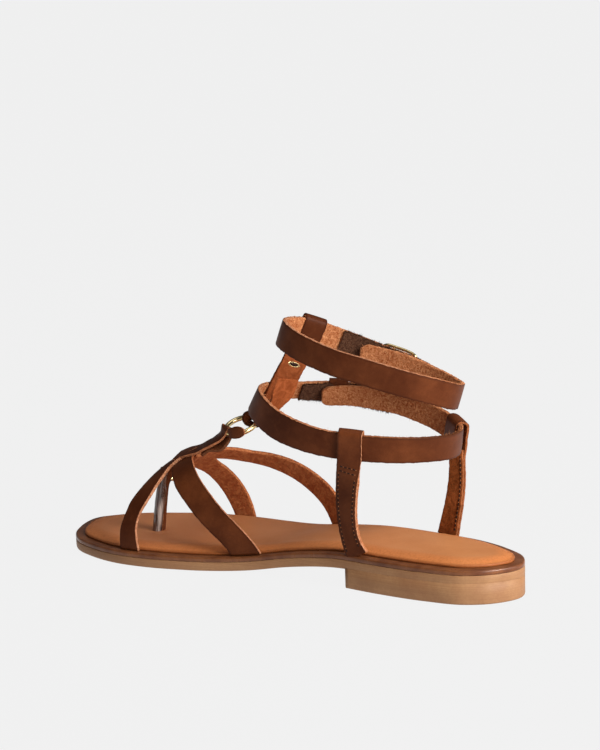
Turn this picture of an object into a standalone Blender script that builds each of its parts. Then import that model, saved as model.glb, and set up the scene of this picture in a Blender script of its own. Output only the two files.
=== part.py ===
"""Toe post sandal, right foot: a flat leather sandal with two ankle straps.

Every size below is in millimetres. The sandal is laid out with the heel end at
along = 1 and the toe at along = 250 (+Y), its outer (little toe) side towards
+X, and its tread on Z = 0. `place` moves it so that the origin lies at the bottom
centre of its bounding box, and turns millimetres into metres.
"""

import math

import bmesh
import bpy
import numpy as np

MM = 0.001
GAP = 0.3  # clearance between pieces that meet

# The sole: along the foot, its inner and outer edge, and the underside of the sole proper.
SOLE = [  # along, inner edge, outer edge, underside
    (1.0, -0.5, -0.5, 8.9),
    (7.0, -15.5, 11.3, 8.9),
    (18.0, -23.5, 18.9, 8.9),
    (35.0, -26.3, 26.0, 8.9),
    (60.0, -26.3, 29.8, 8.9),
    (85.0, -24.0, 31.4, 8.6),
    (110.0, -23.3, 36.0, 5.6),
    (135.0, -26.7, 42.5, 1.5),
    (160.0, -33.0, 45.8, 0.0),
    (180.0, -38.0, 45.0, 0.0),
    (200.0, -39.2, 41.2, 0.0),
    (220.0, -35.0, 32.0, 0.3),
    (236.0, -27.0, 19.8, 1.0),
    (246.0, -17.0, 6.8, 1.6),
    (250.0, -6.8, -6.8, 2.0),
]
OUTSOLE_THICK = 4.4
WELT_THICK = 2.0
WELT_TOP = OUTSOLE_THICK + GAP + WELT_THICK  # above the underside
HEEL_BREAST = 78.0
STATIONS = 44

# The foot bed: a cushion that stands back from the edge of the welt.
RIM = 4.5
INSOLE_RINGS = [  # inset from the sole's edge, height above the welt
    (RIM + 0.8, GAP),
    (RIM + 0.1, 0.6),
    (RIM, 0.95),
    (RIM + 0.5, 1.25),
    (RIM + 2.0, 1.6),
    (RIM + 6.0, 2.35),
    (RIM + 11.0, 2.95),
]
INSOLE_CROWN = 3.3

# The foot that the straps go round, above the welt. Its surface is the straps' outer face.
STRAP_THICK = 1.8
STRAP_SEAT = RIM - GAP - STRAP_THICK - 0.15  # inset of the straps' outer face at the sole
FOOT_ROUNDNESS = 2.3
INSTEP = [  # along, height of the instep above the welt
    (110.0, 92.0),
    (130.0, 73.0),
    (150.0, 58.0),
    (165.0, 50.0),
    (180.0, 42.5),
    (195.0, 34.0),
    (210.0, 27.0),
]

# Forefoot straps. Each row is a line across the strap from its front to its back edge:
# the turn round the foot (0 outer side, 90 on top, 180 inner side) and the place along it.
FRONT_INNER_STRAP = [  # front turn, front along, back turn, back along, lift
    (180, 199.5, 180, 189.0, 0.0),
    (166, 199.8, 166, 190.5, 0.0),
    (152, 198.4, 154, 189.4, 0.0),
    (140, 197.2, 142, 186.4, 0.2),
    (128, 193.8, 128, 183.6, 0.8),
    (115, 189.8, 118, 181.9, 1.4),
    (104, 185.6, 110, 178.0, 1.7),
    (94, 181.0, 105, 172.5, 1.7),
]
INNER_TO_OUTER_STRAP = [  # front turn, front along, back turn, back along, lift
    (180, 141.5, 180, 127.1, 0.0),
    (169, 153.0, 171, 138.0, 0.0),
    (159, 160.7, 161, 148.0, 0.0),
    (144, 170.0, 146, 159.0, 0.0),
    (130, 176.2, 132, 166.3, 0.0),
    (114, 182.7, 115, 172.7, 0.0),
    (97, 189.0, 97, 178.5, -0.1),
    (80, 193.6, 79, 183.0, -0.2),
    (63, 196.2, 57, 188.0, -0.2),
    (47, 195.6, 40, 186.9, -0.1),
    (31, 194.2, 26, 184.2, 0.0),
    (14, 191.2, 12, 180.6, 0.0),
    (0, 187.6, 0, 177.8, 0.0),
]
BACK_OUTER_STRAP = [  # front turn, front along, back turn, back along, lift
    (0, 126.0, 0, 115.5, 0.0),
    (6, 130.5, 7, 121.0, -0.8),
    (14, 138.7, 13, 126.0, -2.0),
    (20, 144.7, 19, 132.3, -2.8),
    (27, 152.5, 27, 141.0, -3.0),
    (35, 161.0, 36, 150.0, -3.0),
    (43, 168.2, 45, 158.4, -3.0),
    (53, 175.4, 56, 167.4, -2.8),
    (67, 181.6, 71, 173.0, -2.3),
    (82, 185.5, 86, 176.0, -1.9),
    (98, 186.5, 101, 177.0, -1.9),
]
# The centre strap runs back from the crossing to the ring, tilted to the inner side.
CENTRE_STRAP = [  # inner x, along, height, outer x, along, height
    (-13.0, 182.0, 47.4, -4.5, 187.0, 48.2),
    (-12.5, 176.0, 49.6, -4.0, 181.0, 50.8),
    (-12.0, 169.5, 51.6, -4.0, 174.5, 53.0),
    (-12.0, 163.0, 54.2, -4.0, 169.0, 55.2),
    (-11.6, 157.8, 57.6, -3.8, 163.4, 58.8),
    (-11.0, 154.8, 62.3, -3.6, 160.0, 62.9),
]

# Ring: a round wire, lying a little towards the inner side.
RING_CENTRE = (-3.5, 149.0, 64.9)
RING_NORMAL = (-0.14, -0.10, 0.98)
RING_RADIUS = 7.5
RING_WIRE = 1.0
RING_LOOP_WALL = 1.5

# Toe post: a sleeved cord from the sole up to the crossing, with a strip of leather
# on its heel side and a stud through the strip.
POST_FOOT = (-9.3, 197.0)
POST_HEAD = (-8.4, 190.6)
POST_TOP = 41.4
POST_RADIUS = 2.7
POST_SLOT = 0.35  # clearance in the foot bed
STRIP_HALF_WIDTH = 1.9
STRIP_THICK = 1.3
STUD_RADIUS = 2.0
STUD_THICK = 1.0
STUD_HEIGHT = 36.0

# Ankle straps: ovals in plan whose height changes round the ankle. Turn 0 is the outer
# side, 90 the front, 180 the inner side; the strap starts inside its own other end.
UPPER = dict(
    centre=(3.2, 80.2),
    half_width=25.5,
    half_length=41.4,
    heading=11.8,
    lean_out=0.05,
    step=(-272.0, -330.0),
    rows=[  # turn, height of the strap's middle, width, lean towards the heel
        (21.0, 97.7, 11.6, 0.28),
        (0.0, 93.9, 11.8, 0.27),
        (-30.0, 87.0, 12.0, 0.26),
        (-60.0, 83.3, 12.0, 0.26),
        (-90.0, 84.6, 12.0, 0.26),
        (-120.0, 89.1, 12.0, 0.26),
        (-150.0, 94.5, 12.0, 0.26),
        (-180.0, 100.8, 12.0, 0.27),
        (-210.0, 107.4, 12.0, 0.28),
        (-240.0, 112.0, 12.0, 0.28),
        (-270.0, 112.4, 12.0, 0.28),
        (-300.0, 108.5, 12.0, 0.28),
        (-330.0, 100.7, 12.0, 0.28),
        (-360.0, 92.8, 12.0, 0.27),
        (-388.0, 85.6, 12.0, 0.26),
    ],
)
LOWER = dict(
    centre=(2.9, 87.1),
    half_width=33.7,
    half_length=47.6,
    heading=13.8,
    lean_out=-0.03,
    step=(-266.0, -320.0),
    rows=[  # turn, height of the strap's middle, width, lean towards the heel
        (33.0, 76.2, 9.2, 0.62),
        (16.0, 76.4, 9.7, 0.53),
        (0.0, 74.8, 10.1, 0.44),
        (-30.0, 69.1, 10.8, 0.28),
        (-60.0, 64.3, 11.2, 0.18),
        (-90.0, 62.9, 11.2, 0.14),
        (-120.0, 64.0, 11.2, 0.18),
        (-150.0, 65.5, 11.2, 0.28),
        (-180.0, 67.8, 11.2, 0.44),
        (-210.0, 72.6, 11.3, 0.58),
        (-240.0, 78.5, 12.0, 0.58),
        (-270.0, 81.8, 11.4, 0.68),
        (-285.0, 80.6, 11.0, 0.82),
        (-300.0, 78.4, 10.0, 0.95),
        (-315.0, 77.0, 9.8, 1.0),
        (-330.0, 76.4, 10.4, 0.85),
        (-345.0, 75.5, 10.8, 0.65),
        (-370.0, 72.2, 11.0, 0.4),
    ],
)
OVAL_ROUNDNESS = 2.2
ANKLE_THICK = 2.0
FASTENER_THICK = 1.0
LAYER_STEP = ANKLE_THICK + FASTENER_THICK + 3 * GAP
LOOP_WALL = 1.3
LOOP_GAP = 0.6

# Heel straps, from the sole to the lower ankle strap. x is the middle of the leather.
HEEL_THICK = 2.6
INNER_HEEL_STRAP = [  # height, x, front along, back along
    (16.1, -23.4, 77.5, 66.5),
    (21.0, -23.7, 79.3, 69.8),
    (28.0, -24.4, 80.4, 71.4),
    (36.0, -25.4, 80.4, 71.3),
    (44.0, -26.3, 79.8, 70.2),
    (52.0, -27.0, 78.8, 68.5),
    (60.6, -27.6, 77.0, 66.3),
]
OUTER_HEEL_STRAP = [  # height, x, front along, back along
    (16.1, 26.9, 60.2, 51.2),
    (23.0, 27.2, 58.3, 50.2),
    (32.0, 28.2, 56.4, 49.0),
    (42.0, 29.4, 55.2, 48.2),
    (51.0, 30.4, 55.2, 48.0),
    (58.0, 31.0, 56.2, 48.2),
]
INNER_HEEL_TURN = -172.0
OUTER_HEEL_TURN = -57.5

# T strap, up the front from the ring to the upper ankle strap, inside the lower one.
T_THICK = 2.4
T_STRAP = [  # inner x, along, height, outer x, along, height
    (-6.0, 138.4, 69.4, 3.2, 140.2, 69.4),
    (-6.0, 136.8, 71.8, 5.4, 136.8, 71.4),
    (-4.6, 134.2, 75.6, 7.2, 132.6, 74.8),
    (-3.4, 131.1, 80.6, 8.4, 128.2, 79.2),
    (-1.3, 127.8, 89.0, 10.0, 124.8, 86.6),
    (1.6, 126.6, 96.8, 11.8, 121.8, 94.4),
    (4.6, 125.9, 102.0, 13.8, 119.9, 100.1),
]
T_TURN = -302.0
EYELET_AT = 0.84  # share of the T strap's length
EYELET_HOLE = 1.2
EYELET_BARREL = 1.7
EYELET_RIM = 2.5

# Buckles on the outer side, keepers beside them.
BUCKLE_WIRE = 1.0
BUCKLE_LENGTH = 19.0
BUCKLE_OVER = 1.4  # how far the frame's wire stands past each edge of the strap
UPPER_BUCKLE_TURN = -361.0
LOWER_BUCKLE_TURN = -353.0
KEEPER_TURN = -331.0
KEEPER_WIDTH = 9.0
KEEPER_THICK = 1.3

# Where the bottom centre of the bounding box lies in the layout.
CENTRE_X = 3.3
CENTRE_Y = 125.5


# ---------------------------------------------------------------- scene and meshes


def clear_scene():
    for old in list(bpy.data.objects):
        bpy.data.objects.remove(old, do_unlink=True)


def new_collection(name):
    made = bpy.data.collections.new(name)
    bpy.context.scene.collection.children.link(made)
    return made


def material(name, colour, roughness, metallic=0.0):
    made = bpy.data.materials.new(name)
    made.use_nodes = True
    shader = made.node_tree.nodes["Principled BSDF"]
    shader.inputs["Base Color"].default_value = (*colour, 1.0)
    shader.inputs["Roughness"].default_value = roughness
    shader.inputs["Metallic"].default_value = metallic
    made.diffuse_color = (*colour, 1.0)
    return made


def place(points):
    """Layout millimetres to world metres."""
    return (np.asarray(points, float) - (CENTRE_X, CENTRE_Y, 0.0)) * MM


def add_mesh(name, points, faces, surface, collection):
    """A closed mesh from layout points, with its faces turned outwards."""
    mesh = bpy.data.meshes.new(name)
    mesh.from_pydata(place(points).tolist(), [], faces)
    shape = bmesh.new()
    shape.from_mesh(mesh)
    bmesh.ops.recalc_face_normals(shape, faces=shape.faces)
    shape.to_mesh(mesh)
    shape.free()
    mesh.shade_smooth()
    mesh.set_sharp_from_angle(angle=math.radians(35))
    mesh.materials.append(surface)
    made = bpy.data.objects.new(name, mesh)
    collection.objects.link(made)
    return made


def loft(name, sections, surface, collection, closed=False):
    """Skin over sections of equal point counts; open lofts get flat ends."""
    sections = np.asarray(sections, float)
    count, around = sections.shape[:2]
    faces = []
    for row in range(count if closed else count - 1):
        for side in range(around):
            here = row * around + side
            beside = row * around + (side + 1) % around
            ahead = (row + 1) % count * around
            faces.append((here, beside, ahead + (side + 1) % around, ahead + side))
    if not closed:
        faces.append(tuple(range(around)))
        faces.append(tuple(range((count - 1) * around, count * around)))
    return add_mesh(name, sections.reshape(-1, 3), faces, surface, collection)


def combine(target, operation, tools):
    """Boolean union or difference with tools, which become hidden cutters."""
    for tool in tools:
        tool.hide_render = True
        tool.display_type = "WIRE"
        step = target.modifiers.new(f"{operation.lower()} {tool.name}", "BOOLEAN")
        step.operation = operation
        step.solver = "EXACT"
        step.object = tool


# ---------------------------------------------------------------- curves and frames


def through(knots, values, where):
    """Smooth curve through the rows of a table: cubic pieces that share slopes."""
    knots = np.asarray(knots, float)
    values = np.asarray(values, float)
    slopes = np.gradient(values, knots, axis=0)
    where = np.clip(np.asarray(where, float), knots[0], knots[-1])
    cell = np.clip(np.searchsorted(knots, where) - 1, 0, len(knots) - 2)
    span = knots[cell + 1] - knots[cell]
    t = (where - knots[cell]) / span
    if values.ndim > 1:
        span = span[..., None]
        t = t[..., None]
    start = (2 * t**3 - 3 * t**2 + 1) * values[cell] + (t**3 - 2 * t**2 + t) * span * slopes[cell]
    end = (3 * t**2 - 2 * t**3) * values[cell + 1] + (t**3 - t**2) * span * slopes[cell + 1]
    return start + end


def refine(rows, per_row):
    """Table rows, each with per_row smooth steps to the next."""
    rows = np.asarray(rows, float)
    return through(np.arange(len(rows)), rows, np.linspace(0, len(rows) - 1, per_row * (len(rows) - 1) + 1))


def unit(vectors):
    vectors = np.asarray(vectors, float)
    return vectors / np.linalg.norm(vectors, axis=-1, keepdims=True)


def signed_power(value, power):
    return np.sign(value) * np.abs(value) ** power


# ---------------------------------------------------------------- the sole's outline


def edge_curves():
    """The sole's inner and outer edge as dense curves from heel to toe."""
    table = np.asarray(SOLE)
    inner = table[:, [1, 0]]
    outer = table[-2:0:-1][:, [2, 0]]
    lap = np.vstack([inner, outer])
    lap = np.vstack([lap[-3:], lap, lap[:4]])
    steps = np.hypot(*np.diff(lap, axis=0).T)
    knots = np.concatenate([[0.0], np.cumsum(steps)])
    heel, toe, back = knots[3], knots[2 + len(table)], knots[1 + 2 * len(table)]
    inner_curve = through(knots, lap, np.linspace(heel, toe, 400))
    outer_curve = through(knots, lap, np.linspace(toe, back, 400))[::-1]
    return inner_curve, outer_curve


INNER_EDGE, OUTER_EDGE = edge_curves()


def inset_edge(curve, inset, side):
    """The edge moved in by inset, along its own normal."""
    heading = unit(np.gradient(curve, axis=0))
    normal = np.stack([heading[:, 1], -heading[:, 0]], axis=1)
    return curve + side * inset * normal


def edges_at(inset, along):
    """x of the inner and the outer edge, inset, at places along the foot."""
    inner = inset_edge(INNER_EDGE, inset, 1)
    outer = inset_edge(OUTER_EDGE, inset, -1)
    return np.interp(along, inner[:, 1], inner[:, 0]), np.interp(along, outer[:, 1], outer[:, 0])


def underside(along):
    table = np.asarray(SOLE)
    return np.maximum(through(table[:, 0], table[:, 3], along), 0.0)


def welt_top(along):
    return underside(along) + WELT_TOP


def sole_ring(inset, height, stop=None):
    """One lap of the inset outline: heel, inner edge, toe, outer edge.

    height is a function of the place along. With stop, the lap is cut square there.
    """
    inner = inset_edge(INNER_EDGE, inset, 1)
    outer = inset_edge(OUTER_EDGE, inset, -1)
    heel = (inner[0] + outer[0]) / 2
    toe = (inner[-1] + outer[-1]) / 2
    if stop is None:
        share = (1 - np.cos(np.linspace(0, math.pi, STATIONS + 1))) / 2
        along = heel[1] + (toe[1] - heel[1]) * share
    else:
        share = 1 - np.cos(np.linspace(0, math.pi / 2, STATIONS // 3 + 1))
        along = heel[1] + (stop - heel[1]) * share
    inner_x = np.interp(along, inner[:, 1], inner[:, 0])
    outer_x = np.interp(along, outer[:, 1], outer[:, 0])
    up = height(along)
    inner_side = np.stack([inner_x, along, up], axis=1)
    outer_side = np.stack([outer_x, along, up], axis=1)
    inner_side[0] = (heel[0], along[0], up[0])
    if stop is None:
        inner_side[-1] = (toe[0], along[-1], up[-1])
        return np.vstack([inner_side, outer_side[-2:0:-1]])
    return np.vstack([inner_side, outer_side[:0:-1]])


def cap_faces(first, around, flat_end):
    """Faces across one lap: strips from the inner to the outer edge."""
    pairs = around // 2
    faces = []
    for step in range(pairs if not flat_end else pairs):
        low, high = step, step + 1
        left, right = (around - low) % around, (around - high) % around
        corners = [low, high, right, left]
        unique = list(dict.fromkeys(corners))
        if len(unique) > 2:
            faces.append(tuple(first + corner for corner in unique))
    return faces


def stacked(name, rings, surface, collection, crown=None, flat_end=False):
    """A solid from laps of the outline, one above another; crown lifts its middle."""
    around = len(rings[0])
    points = np.vstack(rings)
    faces = []
    for row in range(len(rings) - 1):
        for side in range(around):
            beside = (side + 1) % around
            faces.append(
                (
                    row * around + side,
                    row * around + beside,
                    (row + 1) * around + beside,
                    (row + 1) * around + side,
                )
            )
    faces += cap_faces(0, around, flat_end)
    top = (len(rings) - 1) * around
    if crown is None:
        faces += cap_faces(top, around, flat_end)
    else:
        lap = rings[-1]
        half = around // 2
        middle = (lap[1:half] + lap[-1:half:-1]) / 2
        middle[:, 2] = crown(middle[:, 1])
        first = len(points)
        points = np.vstack([points, middle])
        spine = [top] + [first + step for step in range(len(middle))] + [top + half]
        for step in range(half):
            inner = (top + step, top + step + 1)
            outer = (top + (around - step) % around, top + around - step - 1)
            faces.append(tuple(dict.fromkeys((inner[0], inner[1], spine[step + 1], spine[step]))))
            faces.append(tuple(dict.fromkeys((outer[0], outer[1], spine[step + 1], spine[step]))))
    return add_mesh(name, points, faces, surface, collection)


# ---------------------------------------------------------------- the foot's form


def foot_point(turn, along):
    """The foot's surface, by the turn round it in degrees and the place along it."""
    inner, outer = edges_at(STRAP_SEAT, along)
    table = np.asarray(INSTEP)
    instep = through(table[:, 0], table[:, 1], along)
    power = 2 / FOOT_ROUNDNESS
    across = signed_power(np.cos(np.radians(turn)), power)
    up = np.abs(np.sin(np.radians(turn))) ** power
    return np.stack(
        [
            (inner + outer) / 2 + (outer - inner) / 2 * across,
            along,
            welt_top(along) + GAP + instep * up,
        ],
        axis=-1,
    )


def foot_normal(turn, along):
    """Outward normal of the foot's surface."""
    turn = np.clip(turn, 2.0, 178.0)
    round_it = foot_point(turn + 1.0, along) - foot_point(turn - 1.0, along)
    along_it = foot_point(turn, along + 1.0) - foot_point(turn, along - 1.0)
    return unit(np.cross(along_it, round_it))


def foot_strap(name, rows, surface, collection):
    """A flat strap laid on the foot's surface, with a line across it in each row."""
    rows = refine(rows, 3)
    front = foot_point(rows[:, 0], rows[:, 1])
    back = foot_point(rows[:, 2], rows[:, 3])
    front_out = foot_normal(rows[:, 0], rows[:, 1])
    back_out = foot_normal(rows[:, 2], rows[:, 3])
    flat = np.array([1.0, 1.0, 0.0])
    seat = (np.minimum(rows[:, 0], 180 - rows[:, 0]) < 1.0)[:, None]
    front_out = np.where(seat, unit(front_out * flat), front_out)
    back_out = np.where(seat, unit(back_out * flat), back_out)
    lift = rows[:, 4:5]
    sections = [
        (a + n * (s - STRAP_THICK), b + m * (s - STRAP_THICK), b + m * s, a + n * s)
        for a, b, n, m, s in zip(front, back, front_out, back_out, lift)
    ]
    return loft(name, sections, surface, collection)


def flat_strap(name, rows, thick, surface, collection):
    """A strap through lines across it, thick/2 to each side of them."""
    rows = refine(rows, 3)
    one, other = rows[:, :3], rows[:, 3:]
    heading = np.gradient((one + other) / 2, axis=0)
    normal = unit(np.cross(heading, other - one)) * thick / 2
    sections = [(a - n, b - n, b + n, a + n) for a, b, n in zip(one, other, normal)]
    return loft(name, sections, surface, collection)


# ---------------------------------------------------------------- ankle straps


def ankle_frame(strap, turn, outward=0.0):
    """Middle, outward normal, upward direction, forward direction and width of an ankle strap at a turn."""
    turn = np.asarray(turn, float)
    rows = np.array(strap["rows"])[::-1]
    heading = math.radians(strap["heading"])

    def middle(angle):
        power = 2 / OVAL_ROUNDNESS
        x = strap["half_width"] * signed_power(np.cos(np.radians(angle)), power)
        y = strap["half_length"] * signed_power(np.sin(np.radians(angle)), power)
        across = x * math.cos(heading) - y * math.sin(heading)
        ahead = x * math.sin(heading) + y * math.cos(heading)
        height = through(rows[:, 0], rows[:, 1], angle)
        return np.stack([strap["centre"][0] + across, strap["centre"][1] + ahead, height], axis=-1)

    centre = middle(turn)
    forward = unit(middle(turn + 1.0) - middle(turn - 1.0))
    width = through(rows[:, 0], rows[:, 2], turn)
    lean = through(rows[:, 0], rows[:, 3], turn)
    lean = unit(np.stack([lean * 0 + strap["lean_out"], -lean, lean * 0 + 1.0], axis=-1))
    normal = unit(np.cross(forward, lean))
    up = np.cross(normal, forward)
    start, end = strap["step"]
    share = np.clip((start - turn) / (start - end), 0.0, 1.0)
    share = share * share * (3 - 2 * share)
    return centre + normal * (LAYER_STEP * share + outward)[..., None], normal, up, forward, width


def along_ankle(strap, turns, outward, half_thick, margin):
    """Flat sections of leather that follow an ankle strap, narrower than it by a margin on each side."""
    centre, normal, up, _, width = ankle_frame(strap, turns, outward)
    side = (width / 2 - margin)[:, None] * up
    deep = half_thick * normal
    return np.stack(
        [centre - side - deep, centre + side - deep, centre + side + deep, centre - side + deep],
        axis=1,
    )


def half_width(strap, turn):
    return float(ankle_frame(strap, turn)[4]) / 2


def ankle_strap(name, strap, surface, collection):
    """One long strap round the ankle whose ends lie over each other on the outer side."""
    turns = np.linspace(strap["rows"][0][0], strap["rows"][-1][0], 112)
    sections = along_ankle(strap, turns, 0.0, ANKLE_THICK / 2, 0.0)
    return loft(name, sections, surface, collection)


def fastener(name, strap, surface, collection):
    """The touch fastener between the two ends of an ankle strap."""
    turns = np.linspace(strap["rows"][0][0] + 14 - 360, strap["rows"][-1][0] + 6, 18)
    outward = -(ANKLE_THICK + FASTENER_THICK) / 2 - GAP
    sections = along_ankle(strap, turns, outward, FASTENER_THICK / 2, 0.8)
    return loft(name, sections, surface, collection)


def keeper(name, strap, turn, surface, collection):
    """A band over the outside of an ankle strap, hooked round both its edges."""
    inside = ANKLE_THICK / 2 + GAP + 0.1
    reach = half_width(strap, turn) + GAP + 0.1
    outside = inside + KEEPER_THICK
    tip = reach + KEEPER_THICK
    outline = np.array(
        [
            (-ANKLE_THICK / 2, reach),
            (-ANKLE_THICK / 2, tip),
            (inside, tip),
            (outside, reach),
            (outside, -reach),
            (inside, -tip),
            (-ANKLE_THICK / 2, -tip),
            (-ANKLE_THICK / 2, -reach),
            (inside, -reach),
            (inside, reach),
        ]
    )
    spread = turn_for(strap, turn, KEEPER_WIDTH / 2)
    sections = []
    for share in (-1, -0.5, 0, 0.5, 1):
        centre, normal, up, _, _ = ankle_frame(strap, turn + share * spread)
        sections.append(centre + outline[:, :1] * normal + outline[:, 1:] * up)
    return loft(name, sections, surface, collection)


def turn_for(strap, turn, length):
    """Degrees of turn that cover a length along an ankle strap."""
    step = ankle_frame(strap, turn + 0.5)[0] - ankle_frame(strap, turn - 0.5)[0]
    return length / np.linalg.norm(step)


def rounded_rectangle(half_wide, half_high, corner, per_corner=4):
    """Points round a rectangle with round corners, as (wide, high) pairs."""
    points = []
    for quarter, (wide, high) in enumerate(((1, 1), (-1, 1), (-1, -1), (1, -1))):
        for step in range(per_corner + 1):
            angle = math.radians(90 * quarter + 90 * step / per_corner)
            points.append(
                (
                    wide * (half_wide - corner) + corner * math.cos(angle),
                    high * (half_high - corner) + corner * math.sin(angle),
                )
            )
    return np.array(points)


def sleeve(name, strap, turn, width, slant, surface, collection):
    """A loop of leather round an ankle strap, width long along it, leaning by slant."""
    spread = turn_for(strap, turn, width / 2)
    half_deep = ANKLE_THICK / 2 + LOOP_GAP
    half_high = half_width(strap, turn) + LOOP_GAP
    hole = rounded_rectangle(half_deep, half_high, half_deep * 0.7)
    skin = rounded_rectangle(half_deep + LOOP_WALL, half_high + LOOP_WALL, half_deep * 0.7 + LOOP_WALL)
    sections = []
    for outline, shares in ((hole, (-1, -0.5, 0, 0.5, 1)), (skin, (1, 0.5, 0, -0.5, -1))):
        for share in shares:
            turns = turn + share * spread + slant * outline[:, 1]
            centre, normal, up, _, _ = ankle_frame(strap, turns)
            sections.append(centre + outline[:, :1] * normal + outline[:, 1:] * up)
    return loft(name, sections, surface, collection, closed=True)


def ring_loop(name, angle, width, half_deep, half_high, lift, surface, collection):
    """A loop of leather round the ring's wire, at an angle round the ring, raised by lift."""
    centre, ahead, side, normal = ring_axes()
    corner = half_deep * 0.8
    hole = rounded_rectangle(half_deep, half_high, corner)
    skin = rounded_rectangle(half_deep + RING_LOOP_WALL, half_high + RING_LOOP_WALL, corner + RING_LOOP_WALL)
    spread = width / 2 / RING_RADIUS
    sections = []
    for outline, shares in ((hole, (-1, -0.5, 0, 0.5, 1)), (skin, (1, 0.5, 0, -0.5, -1))):
        for share in shares:
            turn = math.radians(angle) + share * spread
            out = math.cos(turn) * ahead + math.sin(turn) * side
            middle = centre + RING_RADIUS * out + lift * normal
            sections.append(middle + outline[:, :1] * out + outline[:, 1:] * normal)
    return loft(name, sections, surface, collection, closed=True)


def ring_axes():
    """Centre, forward, outward and normal direction of the ring."""
    normal = unit(RING_NORMAL)
    ahead = unit(np.array([0.0, 1.0, 0.0]) - normal * normal[1])
    side = np.cross(ahead, normal)
    return np.array(RING_CENTRE), ahead, side, normal


# ---------------------------------------------------------------- pieces


def make_outsole(surface, collection, tools):
    """The moulded sole: a plate that follows the arch, and a low heel block under it."""
    plate = stacked(
        "outsole",
        [
            sole_ring(1.0, underside),
            sole_ring(0.2, lambda along: underside(along) + 0.7),
            sole_ring(0.0, lambda along: underside(along) + OUTSOLE_THICK),
        ],
        surface,
        collection,
    )
    heel = stacked(
        "heel_block",
        [
            sole_ring(1.3, lambda along: 0.0 * along, HEEL_BREAST - 1.0),
            sole_ring(0.6, lambda along: 0.0 * along + 0.9, HEEL_BREAST),
            sole_ring(0.05, lambda along: underside(along) + 2.0, HEEL_BREAST),
        ],
        surface,
        tools,
        flat_end=True,
    )
    combine(plate, "UNION", [heel])
    return plate


def make_welt(surface, collection):
    """The band between outsole and foot bed, flush with the outsole's edge."""
    low = OUTSOLE_THICK + GAP
    return stacked(
        "welt",
        [
            sole_ring(0.0, lambda along: underside(along) + low),
            sole_ring(0.0, lambda along: underside(along) + low + WELT_THICK - 0.5),
            sole_ring(0.5, lambda along: underside(along) + low + WELT_THICK),
        ],
        surface,
        collection,
    )


def make_insole(surface, collection):
    """The cushioned foot bed, rolled down at its edge to a narrow foot."""
    rings = [
        sole_ring(inset, lambda along, up=up: welt_top(along) + up) for inset, up in INSOLE_RINGS
    ]
    return stacked("insole", rings, surface, collection, crown=lambda along: welt_top(along) + INSOLE_CROWN)


def make_forefoot(surface, collection, tools):
    """The upper over the toes: straps that cross on the instep, joined to one piece."""
    upper = foot_strap("forefoot_straps", FRONT_INNER_STRAP, surface, collection)
    crossing = foot_strap("inner_to_outer_strap", INNER_TO_OUTER_STRAP, surface, tools)
    back = foot_strap("back_outer_strap", BACK_OUTER_STRAP, surface, tools)
    centre = flat_strap("centre_strap", CENTRE_STRAP, STRAP_THICK, surface, tools)
    loop = ring_loop("centre_loop", -24.0, 8.0, 1.5, 1.5, 0.0, surface, tools)
    combine(upper, "UNION", [crossing, back, centre, loop])
    return upper


def make_ring(surface, collection):
    centre, ahead, side, normal = ring_axes()
    sections = []
    for step in range(40):
        turn = 2 * math.pi * step / 40
        out = math.cos(turn) * ahead + math.sin(turn) * side
        sections.append(
            [
                centre + RING_RADIUS * out + RING_WIRE * (math.cos(a) * out + math.sin(a) * normal)
                for a in np.linspace(0, 2 * math.pi, 10, endpoint=False)
            ]
        )
    return loft("ring", sections, surface, collection, closed=True)


def make_ankle_straps(leather, fuzz, collection):
    for name, strap in (("upper", UPPER), ("lower", LOWER)):
        ankle_strap(f"ankle_strap_{name}", strap, leather, collection)
        fastener(f"touch_fastener_{name}", strap, fuzz, collection)


def make_heel_straps(surface, collection, tools):
    for name, rows, turn in (
        ("heel_strap_inner", INNER_HEEL_STRAP, INNER_HEEL_TURN),
        ("heel_strap_outer", OUTER_HEEL_STRAP, OUTER_HEEL_TURN),
    ):
        lines = [(x, front, z, x, back, z) for z, x, front, back in rows]
        leg = flat_strap(name, lines, HEEL_THICK, surface, collection)
        loop = sleeve(f"{name}_loop", LOWER, turn, 11.0, 0.0, surface, tools)
        combine(leg, "UNION", [loop])


def t_strap_at(share):
    """Middle, face normal, crosswise and lengthwise direction of the T strap."""
    rows = through(np.arange(len(T_STRAP)), T_STRAP, np.array([share, share + 0.01]) * (len(T_STRAP) - 1))
    middle = (rows[:, :3] + rows[:, 3:]) / 2
    across = unit(rows[0, 3:] - rows[0, :3])
    ahead = unit(middle[1] - middle[0])
    return middle[0], unit(np.cross(ahead, across)), across, ahead


def rod(name, start, end, radius, surface, collection, sides=20):
    """A straight round bar between two points."""
    start, end = np.asarray(start, float), np.asarray(end, float)
    axis = unit(end - start)
    side = unit(np.cross(axis, (0.0, 1.0, 0.0) if abs(axis[1]) < 0.9 else (1.0, 0.0, 0.0)))
    other = np.cross(axis, side)
    turns = np.linspace(0, 2 * math.pi, sides, endpoint=False)[:, None]
    circle = radius * (np.cos(turns) * side + np.sin(turns) * other)
    return loft(name, [start + circle, end + circle], surface, collection)


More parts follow.
